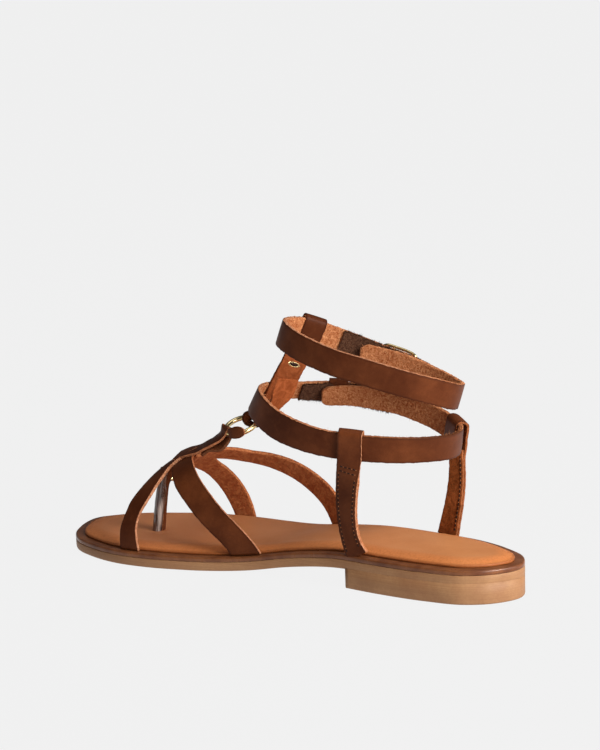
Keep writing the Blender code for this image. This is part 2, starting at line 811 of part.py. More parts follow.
def make_t_strap(leather, brass, collection, tools):
    """The T strap, looped round the ring and the upper ankle strap, and its eyelet."""
    strap = flat_strap("t_strap", T_STRAP, T_THICK, leather, collection)
    top = sleeve("t_strap_top_loop", UPPER, T_TURN, 11.0, 0.55, leather, tools)
    bottom = ring_loop("t_strap_ring_loop", 168.0, 9.5, 2.0, 2.8, 1.5, leather, tools)
    combine(strap, "UNION", [top, bottom])
    middle, normal, across, ahead = t_strap_at(EYELET_AT)
    hole = rod("eyelet_hole", middle - 4 * normal, middle + 4 * normal, EYELET_BARREL + GAP, leather, tools)
    combine(strap, "DIFFERENCE", [hole])
    face = T_THICK / 2 + 0.45
    profile = [  # radius, distance through the leather
        (EYELET_HOLE, -face - 0.3),
        (EYELET_RIM, -face - 0.1),
        (EYELET_RIM, -face),
        (EYELET_BARREL, -face),
        (EYELET_BARREL, face),
        (EYELET_RIM, face),
        (EYELET_RIM, face + 0.1),
        (EYELET_HOLE, face + 0.3),
    ]
    sections = []
    for turn in np.linspace(0, 2 * math.pi, 24, endpoint=False):
        out = math.cos(turn) * across + math.sin(turn) * ahead
        sections.append([middle + radius * out + deep * normal for radius, deep in profile])
    loft("eyelet", sections, brass, collection, closed=True)


def make_buckle(name, strap, turn, surface, collection, tools):
    """A wire frame with a middle bar and a prong, lying on the outside of a strap."""
    outward = ANKLE_THICK / 2 + BUCKLE_WIRE + GAP
    centre, normal, up, forward, width = ankle_frame(strap, turn, outward)
    outline = rounded_rectangle(BUCKLE_LENGTH / 2, width / 2 + BUCKLE_OVER, 3.0)
    ahead = np.roll(outline, -1, axis=0) - np.roll(outline, 1, axis=0)
    sections = []
    for (along, high), heading in zip(outline, unit(ahead)):
        side = heading[1] * forward - heading[0] * up
        point = centre + along * forward + high * up
        sections.append(
            [
                point + BUCKLE_WIRE * (math.cos(a) * side + math.sin(a) * normal)
                for a in np.linspace(0, 2 * math.pi, 10, endpoint=False)
            ]
        )
    frame = loft(name, sections, surface, collection, closed=True)
    reach = width / 2 + BUCKLE_OVER
    bar = rod(f"{name}_bar", centre - reach * up, centre + reach * up, 0.8, surface, tools, 10)
    tip = centre + BUCKLE_LENGTH / 2 * forward + 0.5 * normal
    prong = rod(f"{name}_prong", centre, tip, 0.8, surface, tools, 10)
    combine(frame, "UNION", [bar, prong])


def post_sections(outline, low, high):
    """A flat outline (across, towards the heel) carried from height low up to high."""
    foot = np.array([*POST_FOOT, 7.0])
    head = np.array([*POST_HEAD, POST_TOP])
    sections = []
    for height in (low, high):
        middle = foot + (head - foot) * (height - foot[2]) / (head[2] - foot[2])
        sections.append([middle + (across, -back, 0.0) for across, back in outline])
    return sections


def circle(radius, sides):
    turns = np.linspace(0, 2 * math.pi, sides, endpoint=False)
    return [(radius * math.cos(turn), radius * math.sin(turn)) for turn in turns]


def bar(half_width, near, far):
    return [(-half_width, near), (half_width, near), (half_width, far), (-half_width, far)]


def make_toe_post(sleeve_surface, leather, brass, insole, collection, tools):
    """The post between the toes: its sleeve, the strip behind it and the stud."""
    low = float(welt_top(POST_FOOT[1])) + GAP
    near = POST_RADIUS + GAP
    far = near + STRIP_THICK
    loft("toe_post", post_sections(circle(POST_RADIUS, 24), low, POST_TOP), sleeve_surface, collection)
    loft("toe_post_strip", post_sections(bar(STRIP_HALF_WIDTH, near, far), low, POST_TOP - 0.8), leather, collection)
    seat = np.mean(post_sections([(0.0, far + GAP + 0.4)], STUD_HEIGHT, STUD_HEIGHT + 1), axis=(0, 1))
    rod("toe_post_stud", seat, seat - (0.0, STUD_THICK, 0.0), STUD_RADIUS, brass, collection)
    hole = post_sections(circle(POST_RADIUS + POST_SLOT, 24), low - 2.0, low + 8.0)
    slot = post_sections(bar(STRIP_HALF_WIDTH + POST_SLOT, 0.0, far + POST_SLOT), low - 2.2, low + 8.2)
    cutters = [loft("post_hole", hole, leather, tools), loft("post_slot", slot, leather, tools)]
    combine(insole, "DIFFERENCE", cutters)


def build():
    clear_scene()
    parts = new_collection("toe_post_sandal")
    tools = new_collection("cutters")
    dark = material("dark_brown_leather", (0.10, 0.035, 0.018), 0.5)
    tan = material("tan_leather", (0.42, 0.17, 0.07), 0.6)
    moulded = material("sole_rubber", (0.30, 0.17, 0.10), 0.7)
    edge = material("welt_leather", (0.15, 0.06, 0.03), 0.6)
    brass = material("pale_gold", (0.80, 0.62, 0.30), 0.25, 1.0)
    fuzz = material("touch_fastener", (0.05, 0.025, 0.015), 0.95)
    cord = material("post_sleeve", (0.05, 0.04, 0.035), 0.3)
    make_outsole(moulded, parts, tools)
    make_welt(edge, parts)
    insole = make_insole(tan, parts)
    make_forefoot(dark, parts, tools)
    make_ring(brass, parts)
    make_ankle_straps(dark, fuzz, parts)
    make_heel_straps(dark, parts, tools)
    make_t_strap(dark, brass, parts, tools)
    make_toe_post(cord, dark, brass, insole, parts, tools)
    for name, strap, turn in (("upper", UPPER, UPPER_BUCKLE_TURN), ("lower", LOWER, LOWER_BUCKLE_TURN)):
        make_buckle(f"buckle_{name}", strap, turn, brass, parts, tools)
    keeper("keeper_lower", LOWER, KEEPER_TURN, dark, parts)


build()
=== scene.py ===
"""Looks of a toe post sandal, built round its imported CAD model.

The sandal's own layout is in millimetres: the heel's end at along = 1 and the toe's tip at
along = 246.4 (+Y), the outer side at +X and the tread at Z = 0. `into_frame` moves points of
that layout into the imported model's frame, in metres. Leather is made as ribbons: a rounded
section carried along a path.
"""

import math

import bpy
import numpy as np
from mathutils import Matrix


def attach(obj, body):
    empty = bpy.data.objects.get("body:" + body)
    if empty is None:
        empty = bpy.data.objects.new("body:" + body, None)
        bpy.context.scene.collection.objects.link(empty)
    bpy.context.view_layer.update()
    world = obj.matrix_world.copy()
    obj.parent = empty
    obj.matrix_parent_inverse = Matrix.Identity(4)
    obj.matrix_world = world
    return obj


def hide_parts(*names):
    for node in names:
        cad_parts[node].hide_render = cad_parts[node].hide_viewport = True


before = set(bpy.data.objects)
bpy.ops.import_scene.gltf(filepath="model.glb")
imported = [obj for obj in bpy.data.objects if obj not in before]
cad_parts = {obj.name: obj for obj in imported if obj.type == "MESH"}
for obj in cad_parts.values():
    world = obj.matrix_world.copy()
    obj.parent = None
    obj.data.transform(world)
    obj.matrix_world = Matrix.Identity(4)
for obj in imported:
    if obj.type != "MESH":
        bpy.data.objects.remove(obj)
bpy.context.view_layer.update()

MM = 0.001
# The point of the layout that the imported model's frame has at its middle.
LAYOUT_CENTRE = np.array([3.3, 125.5, 0.0])
GAP = 0.3  # between pieces that lie on each other

# ---------------------------------------------------------------- tables of the layout

SOLE = [  # along, inner edge, outer edge, underside
    (1.0, -0.5, -0.5, 8.9),
    (7.0, -15.5, 11.3, 8.9),
    (18.0, -23.5, 18.9, 8.9),
    (35.0, -26.3, 26.0, 8.9),
    (60.0, -26.3, 29.8, 8.9),
    (85.0, -24.0, 31.4, 8.6),
    (110.0, -23.3, 36.0, 5.6),
    (135.0, -26.7, 42.5, 1.5),
    (160.0, -33.0, 45.8, 0.0),
    (180.0, -38.0, 45.0, 0.0),
    (200.0, -39.2, 41.2, 0.0),
    (220.0, -35.2, 31.9, 0.3),
    (230.5, -31.2, 24.6, 0.8),
    (237.8, -24.6, 17.2, 1.2),
    (242.7, -15.6, 10.4, 1.6),
    (245.6, -6.8, 4.8, 1.9),
    (246.4, -0.8, -0.8, 2.0),
]
OUTSOLE_THICK = 4.4
WELT_THICK = 2.0
WELT_TOP = OUTSOLE_THICK + GAP + WELT_THICK
HEEL_BREAST = 78.7
RIM = 4.5
STRAP_THICK = 1.8
STRAP_SEAT = RIM - GAP - STRAP_THICK - 0.15
FOOT_ROUNDNESS = 2.3
INSTEP = [  # along, height of the instep above the welt
    (110.0, 92.0),
    (130.0, 73.0),
    (150.0, 58.0),
    (165.0, 50.0),
    (180.0, 42.5),
    (195.0, 34.0),
    (210.0, 27.0),
]
FRONT_INNER_STRAP = [  # front turn, front along, back turn, back along, lift
    (180, 199.5, 180, 189.0, 0.0),
    (166, 199.8, 166, 190.5, 0.0),
    (152, 198.4, 154, 189.4, 0.0),
    (140, 197.2, 142, 186.4, 0.2),
    (128, 193.8, 128, 183.6, 0.8),
    (115, 189.8, 118, 181.9, 1.4),
    (104, 185.6, 110, 178.0, 1.7),
    (94, 181.0, 105, 172.5, 1.7),
]
INNER_TO_OUTER_STRAP = [  # front turn, front along, back turn, back along, lift
    (180, 142.0, 180, 127.0, 0.0),
    (169, 154.0, 171, 137.4, 0.0),
    (159, 162.0, 161, 147.0, 0.0),
    (144, 171.2, 146, 157.2, 0.0),
    (130, 177.2, 132, 164.8, 0.0),
    (114, 183.2, 115, 172.0, 0.0),
    (97, 189.4, 97, 178.2, -0.1),
    (80, 194.6, 79, 182.7, -0.2),
    (63, 197.5, 57, 187.6, -0.2),
    (47, 197.1, 40, 186.5, -0.1),
    (31, 195.7, 26, 183.8, 0.0),
    (14, 192.6, 12, 180.3, 0.0),
    (0, 188.8, 0, 177.5, 0.0),
]
BACK_OUTER_STRAP = [  # front turn, front along, back turn, back along, lift
    (0, 127.0, 0, 115.2, 0.0),
    (6, 131.8, 7, 120.8, -1.0),
    (14, 140.0, 13, 126.0, -2.6),
    (20, 146.2, 19, 132.5, -3.6),
    (27, 154.0, 27, 141.2, -3.9),
    (35, 162.4, 36, 150.2, -3.9),
    (43, 169.6, 45, 158.6, -3.9),
    (53, 176.6, 56, 167.6, -3.6),
    (67, 182.6, 71, 173.2, -2.9),
    (82, 186.0, 86, 176.0, -2.2),
    (98, 186.5, 101, 177.0, -1.9),
]
CENTRE_STRAP = [  # inner x, along, height, outer x, along, height
    (-13.0, 182.0, 47.4, -4.5, 187.0, 48.2),
    (-12.5, 176.0, 49.6, -4.0, 181.0, 50.8),
    (-12.2, 169.2, 51.8, -4.0, 174.4, 52.8),
    (-12.0, 163.8, 54.7, -4.2, 169.6, 55.0),
    (-11.8, 159.4, 57.0, -4.6, 165.4, 57.3),
    (-11.4, 155.4, 59.6, -5.2, 161.0, 60.4),
]
CENTRE_RETURN = [  # the layer under it, back from the ring
    (-10.4, 152.8, 57.0, -5.0, 159.6, 58.4),
    (-10.6, 156.2, 54.8, -4.6, 163.6, 56.0),
    (-11.0, 161.8, 53.5, -5.0, 168.6, 54.6),
    (-11.2, 165.4, 51.8, -5.4, 172.0, 52.8),
]
CENTRE_TAIL = [  # lower x, along, height, upper x, along, height
    (-9.0, 153.2, 60.2, -8.6, 153.4, 63.6),
    (-11.4, 149.6, 60.0, -11.0, 150.2, 64.9),
    (-11.6, 145.6, 60.5, -11.0, 145.9, 66.1),
    (-10.8, 142.6, 61.6, -10.4, 142.6, 65.8),
]
RING_CENTRE = (-3.5, 149.7, 64.7)
RING_NORMAL = (-0.371, 0.042, 0.928)
RING_RADIUS = 7.5
RING_WIRE = 1.2
# Ankle straps. lean_out: how much their faces tip; step: the turns between which they move out
# to overlap themselves; pale: how light their cut edges are; the key after pale: how much painted
# shade darkens their near side.
UPPER = dict(
    centre=(3.2, 80.5),
    half_width=25.5,
    half_length=41.0,
    heading=11.8,
    lean_out=0.05,
    step=(-272.0, -330.0),
    pale=1.0,
    painted_shade=0.0,
    rows=[  # turn, height of the strap's middle, width, lean towards the heel
        (18.7, 97.3, 11.6, 0.28),
        (0.0, 93.9, 11.8, 0.27),
        (-30.0, 87.3, 12.0, 0.29),
        (-60.0, 83.7, 12.0, 0.33),
        (-90.0, 84.6, 12.0, 0.31),
        (-120.0, 89.1, 12.0, 0.27),
        (-150.0, 94.5, 12.0, 0.27),
        (-180.0, 100.8, 12.0, 0.29),
        (-210.0, 107.2, 12.0, 0.34),
        (-240.0, 111.7, 12.0, 0.38),
        (-270.0, 112.2, 12.0, 0.36),
        (-300.0, 109.1, 12.0, 0.32),
        (-330.0, 101.9, 12.0, 0.28),
        (-360.0, 93.6, 12.0, 0.27),
        (-388.0, 85.8, 12.0, 0.26),
    ],
)
LOWER = dict(
    centre=(2.9, 88.1),
    half_width=33.7,
    half_length=47.2,
    heading=13.8,
    lean_out=-0.03,
    step=(-266.0, -320.0),
    pale=0.6,
    painted_shade=0.22,
    rows=[  # turn, height of the strap's middle, width, lean towards the heel
        (34.3, 75.9, 9.6, 0.62),
        (16.0, 76.1, 10.1, 0.53),
        (0.0, 74.5, 10.5, 0.44),
        (-30.0, 68.8, 11.1, 0.28),
        (-60.0, 63.5, 11.8, 0.18),
        (-90.0, 62.4, 11.5, 0.14),
        (-120.0, 63.6, 11.6, 0.18),
        (-150.0, 65.0, 12.1, 0.28),
        (-180.0, 67.3, 12.4, 0.44),
        (-210.0, 72.9, 13.2, 0.56),
        (-240.0, 79.9, 12.9, 0.56),
        (-270.0, 81.9, 12.0, 0.68),
        (-285.0, 80.5, 11.4, 0.82),
        (-300.0, 78.2, 10.4, 0.95),
        (-315.0, 76.8, 10.2, 1.0),
        (-330.0, 76.2, 10.6, 0.85),
        (-345.0, 75.3, 11.0, 0.65),
        (-370.0, 72.0, 11.2, 0.4),
    ],
)
OVAL_ROUNDNESS = 2.2
ANKLE_THICK = 2.0
FASTENER_THICK = 1.0
LAYER_STEP = ANKLE_THICK + FASTENER_THICK + 3 * GAP
HEEL_LAYER = 1.3
INNER_HEEL_STRAP = [  # height, x, front along, back along
    (15.8, -23.4, 77.6, 66.3),
    (21.0, -23.7, 79.5, 69.4),
    (28.0, -24.4, 80.7, 71.0),
    (36.0, -25.4, 80.9, 70.8),
    (44.0, -26.3, 80.4, 69.6),
    (52.0, -27.0, 79.4, 67.9),
]
OUTER_HEEL_STRAP = [  # height, x, front along, back along
    (15.8, 26.9, 61.2, 50.6),
    (23.0, 27.2, 59.3, 49.4),
    (32.0, 28.2, 57.4, 48.2),
    (42.0, 29.4, 56.2, 47.8),
    (51.0, 30.4, 56.2, 48.4),
]
INNER_HEEL_TURN = -170.8
OUTER_HEEL_TURN = -57.5
T_THICK = 1.5
T_SEAM_HEIGHT = 78.5
EYELET_HEIGHT = 94.0
KEEPER_TURN = -336.0

# Fibres to be made once the straps are: sets of (points, direction out of the leather, how many,
# how long, how wildly they lie), for the cut edges, the nap and the fasteners' pile.
EDGES, NAP, PILE = [], [], []
EDGE_WILD, NAP_WILD, PILE_WILD = 0.55, 0.8, 0.7
NAP_LONG = 1.1
POST_STRIP = [  # left x, along, height, right x, along, height
    (-8.2, 197.0, 7.0, -5.8, 197.2, 7.0),
    (-8.1, 194.6, 24.0, -5.6, 194.8, 24.0),
    (-8.0, 193.2, 33.0, -5.4, 193.0, 33.0),
    (-7.9, 192.8, 35.8, -4.5, 191.2, 35.6),
    (-7.4, 191.8, 39.0, -3.6, 189.2, 38.6),
    (-6.2, 189.2, 42.4, -2.6, 186.6, 42.4),
    (-4.5, 186.4, 43.9, -1.5, 184.0, 43.9),
]
STUD_PLACE = (-5.5, 190.9, 35.4)
STUD_RADIUS = 1.1
T_STRAP = [  # inner x, along, height, outer x, along, height
    (-5.2, 134.2, 75.6, 7.2, 132.6, 74.8),
    (-7.4, 132.3, 80.9, 8.0, 128.2, 79.2),
    (-5.3, 129.1, 88.4, 8.8, 124.7, 86.6),
    (0.0, 126.4, 96.8, 11.4, 121.3, 94.6),
]
T_FLAP = [  # the end sewn inside the lower ankle strap
    (-3.6, 127.6, 88.8, 8.4, 123.9, 87.0),
    (-4.8, 130.2, 81.6, 7.8, 127.0, 79.6),
    (-4.4, 131.6, 77.0, 3.6, 130.6, 74.6),
    (-5.4, 132.2, 72.6, 0.2, 132.0, 71.4),
]
T_TURN = -304.0


# ---------------------------------------------------------------- curves and frames


def through(knots, values, where):
    """Smooth curve through the rows of a table.

    Between two rows it is the cubic that meets both, with the slope at each row taken from its
    neighbours."""
    knots = np.asarray(knots, float)
    values = np.asarray(values, float)
    slopes = np.gradient(values, knots, axis=0)
    where = np.clip(np.asarray(where, float), knots[0], knots[-1])
    cell = np.clip(np.searchsorted(knots, where) - 1, 0, len(knots) - 2)
    span = knots[cell + 1] - knots[cell]
    t = (where - knots[cell]) / span
    if values.ndim > 1:
        span = span[..., None]
        t = t[..., None]
    start = (2 * t**3 - 3 * t**2 + 1) * values[cell] + (t**3 - 2 * t**2 + t) * span * slopes[cell]
    end = (3 * t**2 - 2 * t**3) * values[cell + 1] + (t**3 - t**2) * span * slopes[cell + 1]
    return start + end


def refine(rows, per_row):
    """Table rows, each with per_row smooth steps to the next."""
    rows = np.asarray(rows, float)
    last = len(rows) - 1
    return through(np.arange(len(rows)), rows, np.linspace(0, last, per_row * last + 1))


def run_along(path):
    """Distance along a path at each of its points: the running sum of its steps."""
    return np.concatenate([[0.0], np.cumsum(np.linalg.norm(np.diff(path, axis=0), axis=1))])


def rows_at(rows, length, where):
    """Rows at distances along a path: each column goes in straight lines between its known
    distances."""
    return np.stack([np.interp(where, length, column) for column in rows.T], axis=1)


def along_path(rows, spacing):
    """Rows resampled so that their middle moves by about spacing at each step."""
    fine = refine(rows, 24)
    length = run_along((fine[:, :3] + fine[:, 3:6]) / 2)
    return rows_at(fine, length, np.linspace(0, length[-1], max(8, int(length[-1] / spacing)) + 1))


def unit(vectors):
    """Vectors divided by their own length."""
    vectors = np.asarray(vectors, float)
    return vectors / np.maximum(np.linalg.norm(vectors, axis=-1, keepdims=True), 1e-12)


def signed_power(value, power):
    """The size of a value raised to a power, with the value's own sign."""
    return np.sign(value) * np.abs(value) ** power


def ease(value):
    """0 to 1, level at both ends: three times the square less twice the cube."""
    value = np.clip(value, 0.0, 1.0)
    return value * value * (3 - 2 * value)


def waver(length, size, wave, seed):
    """A smooth uneven line: size times a sum of five sines.

    Their lengths are shares of the wave length, and their phases come from the seed."""
    length = np.asarray(length, float)
    rng = np.random.default_rng(seed)
    total = np.zeros_like(length)
    for share in (1.0, 0.61, 0.37, 0.23, 0.15):
        turns = length / (wave * share) + rng.random()
        total += np.sin(2 * math.pi * turns) * (0.35 + 0.4 * share)
    return size * total / 2.2


def level_at(level, length):
    """A level for each place along a ribbon, from a number, an array or a function of the share of
    the length."""
    if callable(level):
        level = level(length / length[-1])
    return np.broadcast_to(np.asarray(level, float), length.shape)


def circle(count):
    """Angles evenly once round, the last one step short of the first."""
    return np.linspace(0, 2 * math.pi, count, endpoint=False)


def into_frame(points):
    """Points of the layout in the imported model's frame: less the layout's centre, and in metres."""
    return (np.asarray(points, float) - LAYOUT_CENTRE) * MM


# ---------------------------------------------------------------- meshes


def volume(points, faces):
    """Volume inside blocks of faces, negative where they point inwards.

    Each face is a fan of triangles, and the volume sums the tetrahedra from the points' middle to
    each of them."""
    points = points - points.mean(axis=0)
    fans = [block[:, [0, k, k + 1]] for block in faces for k in range(1, block.shape[1] - 1)]
    one, two, three = points[np.concatenate(fans).T]
    return np.einsum("ij,ij->", one, np.cross(two, three)) / 6


def facing_out(points, faces):
    """The blocks of faces, all turned round if they point inwards."""
    turn = 1 if volume(points, faces) > 0 else -1
    return [block[:, ::turn] for block in faces]


def make_piece(name, points, faces, look, replaces=(), fields=None, flat_faces=()):
    """One closed mesh of points in the layout's millimetres, facing outwards, riding on the
    frame."""
    points = into_frame(points)
    corners = [face for block in facing_out(points, faces) for face in block.tolist()]
    mesh = bpy.data.meshes.new(name)
    mesh.from_pydata(points.tolist(), [], corners)
    smooth = np.ones(len(corners), bool)
    smooth[np.asarray(flat_faces, int)] = False
    mesh.polygons.foreach_set("use_smooth", smooth)
    for key, values in (fields or {}).items():
        data = mesh.attributes.new(key, "FLOAT", "POINT")
        data.data.foreach_set("value", np.asarray(values, np.float32).ravel())
    mesh.update()
    piece = bpy.data.objects.new(name, mesh)
    bpy.context.scene.collection.objects.link(piece)
    mesh.materials.append(look)
    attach(piece, "root")
    if replaces:
        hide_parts(*replaces)
    return piece


def grid_faces(rows, columns, closed=False):
    """Four-cornered faces between each lap of points and the next, and from the last to the first
    if closed."""
    row = np.arange(rows if closed else rows - 1)[:, None] * columns
    above = (row + columns) % (rows * columns)
    column = np.arange(columns)[None, :]
    beside = (column + 1) % columns
    corners = [row + column, row + beside, above + beside, above + column]
    return np.stack(corners, axis=-1).reshape(-1, 4)


def skin(grid, closed=False):
    """Faces of a skin through laps of points, where grid[i, j] is point j of lap i.

    A closed skin's last lap meets its first. Any other has one face over its first lap and one over
    its last."""
    rows, columns = grid.shape[:2]
    lap = np.arange(columns)[None]
    ends = [] if closed else [lap[:, ::-1], (rows - 1) * columns + lap]
    return facing_out(grid.reshape(-1, 3), [grid_faces(rows, columns, closed), *ends])


def joined(name, parts, look, replaces=(), closed=False, flat_ends=True):
    """Several skins through laps of points as one piece.

    Each part is its laps and its fields, as ribbon gives them. closed is one answer for all or one
    for each."""
    points, faces, flat, fields = [], [], [], {}
    first = count = 0
    for (grid, part_fields), is_closed in zip(parts, np.broadcast_to(closed, len(parts))):
        sides, *ends = skin(grid, is_closed)
        faces += [first + block for block in (sides, *ends)]
        flat += [count + len(sides) + k for k in range(len(ends))]
        count += len(sides) + len(ends)
        first += grid.shape[0] * grid.shape[1]
        points.append(grid.reshape(-1, 3))
        for key, values in part_fields.items():
            fields.setdefault(key, []).append(np.broadcast_to(values, grid.shape[:2]).ravel())
    points = np.vstack(points)
    fields = {key: np.concatenate(values) for key, values in fields.items()}
    flat_faces = flat if flat_ends else ()
    return make_piece(name, points, faces, look, replaces, fields, flat_faces)


def tube(name, grid, look, replaces=(), fields=None, closed=False):
    """One skin through laps of points as a piece."""
    return joined(name, [(grid, fields or {})], look, replaces, closed)


def many(name, grids, look):
    """Many small skins alike as one piece: grids[n, i, j] is point j of lap i of part n."""
    count, rows, columns = grids.shape[:3]
    first = (np.arange(count) * rows * columns)[:, None, None]
    sides, *ends = skin(grids[0])
    faces = [(first + block).reshape(-1, block.shape[1]) for block in (sides, np.vstack(ends))]
    return make_piece(name, grids.reshape(-1, 3), faces, look)


# ---------------------------------------------------------------- ribbons of leather


def ribbon_section():
    """The section of a strap, once round, with four rounded corners. Each row is one point of it:

    share of the half width, and of the corner's radius beside it; the same two for the thickness;
    0 on the face to 1 on the flesh side; and how much of the cut edge the point is."""
    side = np.linspace(-1, 1, 13)
    bend = np.radians([25.0, 55.0, 90.0])
    face_cut, flesh_cut = (0.0, 0.5, 1.0), (0.0, 0.8, 1.0)

    def corner(edge, half, flesh, turns, cuts):
        """A quarter circle: the sine of the bend beside the width, its cosine beside the
        thickness."""
        return [
            (edge, edge * math.sin(turn), half, half * math.cos(turn), flesh, cut)
            for turn, cut in zip(turns, cuts)
        ]

    rows = [(s, 0.0, 1.0, 1.0, 0.0, 0.0) for s in side]
    rows += corner(1.0, 1.0, 0.0, bend, face_cut)
    rows += [(1.0, 1.0, 0.0, 0.0, 0.5, 1.0)]
    rows += corner(1.0, -1.0, 1.0, bend[::-1], flesh_cut[::-1])
    rows += [(s, 0.0, -1.0, -1.0, 1.0, 0.0) for s in side[::-1]]
    rows += corner(-1.0, -1.0, 1.0, bend, flesh_cut)
    rows += [(-1.0, -1.0, 0.0, 0.0, 0.5, 1.0)]
    rows += corner(-1.0, 1.0, 0.0, bend[::-1], face_cut[::-1])
    return np.array(rows)


SECTION = ribbon_section()


def ribbon(
    middle,
    across,
    outward,
    half_width,
    thick,
    seed=0,
    tips=(0.0, 0.0),
    corner=0.42,
    ragged=0.10,
    creases=(),
    pale=1.0,
    painted_shade=0.0,
):
    """A strap as laps of points: the section carried along the middle line, with its edges a little
    uneven.

    A point is the middle, plus the crosswise direction times its share of the half width, plus the
    outward direction times its share of half the thickness. The face is a little crowned: its rise
    falls off with the square of the share of the half width. tips gives the length of a rounded end
    at the start and at the finish. Each crease is (place along, slant, depth, width): a soft trough
    with a low ridge on each side of it. pale is how much lighter the cut edges are than the flesh
    side, and the last argument how much painted shade darkens the leather. Each is a number, an
    array along the strap or a function of the share of its length. Where pale is negative, the cut
    edge goes towards the colour of the face."""
    crown, tip_narrowing = 0.08, 0.42
    one_wave, other_wave = 5.0, 6.3
    nap_height, nap_wave = 0.04, 3.1
    length = run_along(middle)
    half_width = np.broadcast_to(np.asarray(half_width, float), length.shape).copy()
    for end, tip in ((length, tips[0]), (length[-1] - length, tips[1])):
        if tip > 0:
            share = np.clip(end / tip, 0.0, 1.0)
            half_width *= 1 - tip_narrowing * (1 - np.sqrt(1 - (1 - share) ** 2))
    inset, radius, high, high_radius, flesh, cut = SECTION.T
    corner = min(corner, thick * 0.45)
    uneven = np.where(
        inset[None, :] > 0,
        waver(length, ragged, one_wave, seed)[:, None],
        waver(length, ragged, other_wave, seed + 50)[:, None],
    )
    a = inset * (half_width[:, None] - corner) + radius * corner
    a = a + uneven * inset * np.abs(inset) ** 3
    d = high * (thick / 2 - corner) + high_radius * corner
    d = d + crown * (1 - inset[None, :] ** 2) * np.where(high > 0, 1.0, 0.0)
    d = d + np.where(high < 0, 1.0, 0.0) * waver(length, nap_height, nap_wave, seed + 9)[:, None]
    for place, slant, depth, width in creases:
        off = (length[:, None] + slant * a - place) / width
        d = d - depth * (1 - off**2) * np.exp(-(off**2)) * np.where(high > 0, 1.0, -0.6)
    grid = middle[:, None] + across[:, None] * a[..., None] + outward[:, None] * d[..., None]
    fields = {
        "flesh": flesh[None, :],
        "cut": cut[None, :],
        "side": inset[None, :],
        "pale": level_at(pale, length)[:, None],
        "painted_shade": level_at(painted_shade, length)[:, None],
    }
    return grid, fields


def ribbon_through(rows, spacing, thick, seed, flip=1.0, **more):
    """A ribbon through lines across it, resampled at a spacing; flip -1 turns its face to the other
    side."""
    return ribbon(*lines_across(along_path(rows, spacing), flip), thick, seed, **more)


def lines_across(rows, flip=1.0):
    """Middle, crosswise and outward direction and half width of a strap given by lines across it.

    Outward is square to the line and to the way that the middle goes."""
    one, other = rows[:, :3], rows[:, 3:6]
    middle = (one + other) / 2
    across = unit(other - one)
    heading = unit(np.gradient(middle, axis=0))
    outward = flip * unit(np.cross(across, heading))
    across = np.cross(heading, outward) * flip
    return middle, unit(across), outward, np.linalg.norm(other - one, axis=1) / 2


def edge_line(grid, side):
    """The points of a ribbon along the middle of one cut edge, and the direction out of it."""
    column = np.flatnonzero((SECTION[:, 0] == side) & (SECTION[:, 2] == 0))[0]
    edge = grid[:, column]
    return edge, unit(edge - grid.mean(axis=1))


def note_edges(fibres, grid, wild, *sets):
    """Notes a ribbon's two cut edges for fibres: for each, how many and how long, and how wildly
    all of them lie."""
    for side, (count, long) in zip((1.0, -1.0), sets):
        fibres.append((*edge_line(grid, side), count, long, wild))


# ---------------------------------------------------------------- the sole's outline


def edge_curves():
    """The sole's inner and outer edge as dense curves from heel to toe.

    Both are one smooth lap through the rows of the sole's table, by distance round it, with a few
    rows repeated at the heel so that the lap closes smoothly."""
    samples = 600
    table = np.asarray(SOLE)
    inner = table[:, [1, 0]]
    outer = table[-2:0:-1][:, [2, 0]]
    lap = np.vstack([inner, outer])
    lap = np.vstack([lap[-3:], lap, lap[:4]])
    steps = np.hypot(*np.diff(lap, axis=0).T)
    knots = np.concatenate([[0.0], np.cumsum(steps)])
    heel, toe, back = knots[3], knots[2 + len(table)], knots[1 + 2 * len(table)]
    inner_curve = through(knots, lap, np.linspace(heel, toe, samples))
    outer_curve = through(knots, lap, np.linspace(toe, back, samples))[::-1]
    return inner_curve, outer_curve


INNER_EDGE, OUTER_EDGE = edge_curves()


def inset_edge(curve, inset, side):
    """The edge moved in by inset, along its own normal."""
    heading = unit(np.gradient(curve, axis=0))
    normal = np.stack([heading[:, 1], -heading[:, 0]], axis=1)
    return curve + side * inset * normal


def edges_at(inset, along):
    """x of the inner and the outer edge, inset, at places along the foot."""
    inner = inset_edge(INNER_EDGE, inset, 1)
    outer = inset_edge(OUTER_EDGE, inset, -1)
    return np.interp(along, inner[:, 1], inner[:, 0]), np.interp(along, outer[:, 1], outer[:, 0])


def underside(along):
    """Height of the sole's underside: the smooth curve through its table, never below the floor."""
    table = np.asarray(SOLE)
    return np.maximum(through(table[:, 0], table[:, 3], along), 0.0)


def welt_top(along):
    """Height of the welt's upper face: the underside and the layers on it."""
    return underside(along) + WELT_TOP


def sole_lap(inset, height, stations=110, stop=None):
    """One lap of the inset outline: heel, inner edge, toe, outer edge, or square across where it
    stops.

    height is a function of the place along. The places crowd together towards the rounded ends, as
    a cosine does."""
    inner = inset_edge(INNER_EDGE, inset, 1)
    outer = inset_edge(OUTER_EDGE, inset, -1)
    heel = (inner[0] + outer[0]) / 2
    toe = (inner[-1] + outer[-1]) / 2
    if stop is None:
        share = (1 - np.cos(np.linspace(0, math.pi, stations + 1))) / 2
        along = heel[1] + (toe[1] - heel[1]) * share
    else:
        share = 1 - np.cos(np.linspace(0, math.pi / 2, stations + 1))
        along = heel[1] + (stop - heel[1]) * share
    up = height(along)
    inner_side = np.stack([np.interp(along, inner[:, 1], inner[:, 0]), along, up], axis=1)
    outer_side = np.stack([np.interp(along, outer[:, 1], outer[:, 0]), along, up], axis=1)
    inner_side[0] = (heel[0], along[0], up[0])
    if stop is None:
        inner_side[-1] = (toe[0], along[-1], up[-1])
        return np.vstack([inner_side, outer_side[-2:0:-1]])
    return np.vstack([inner_side, outer_side[:0:-1]])


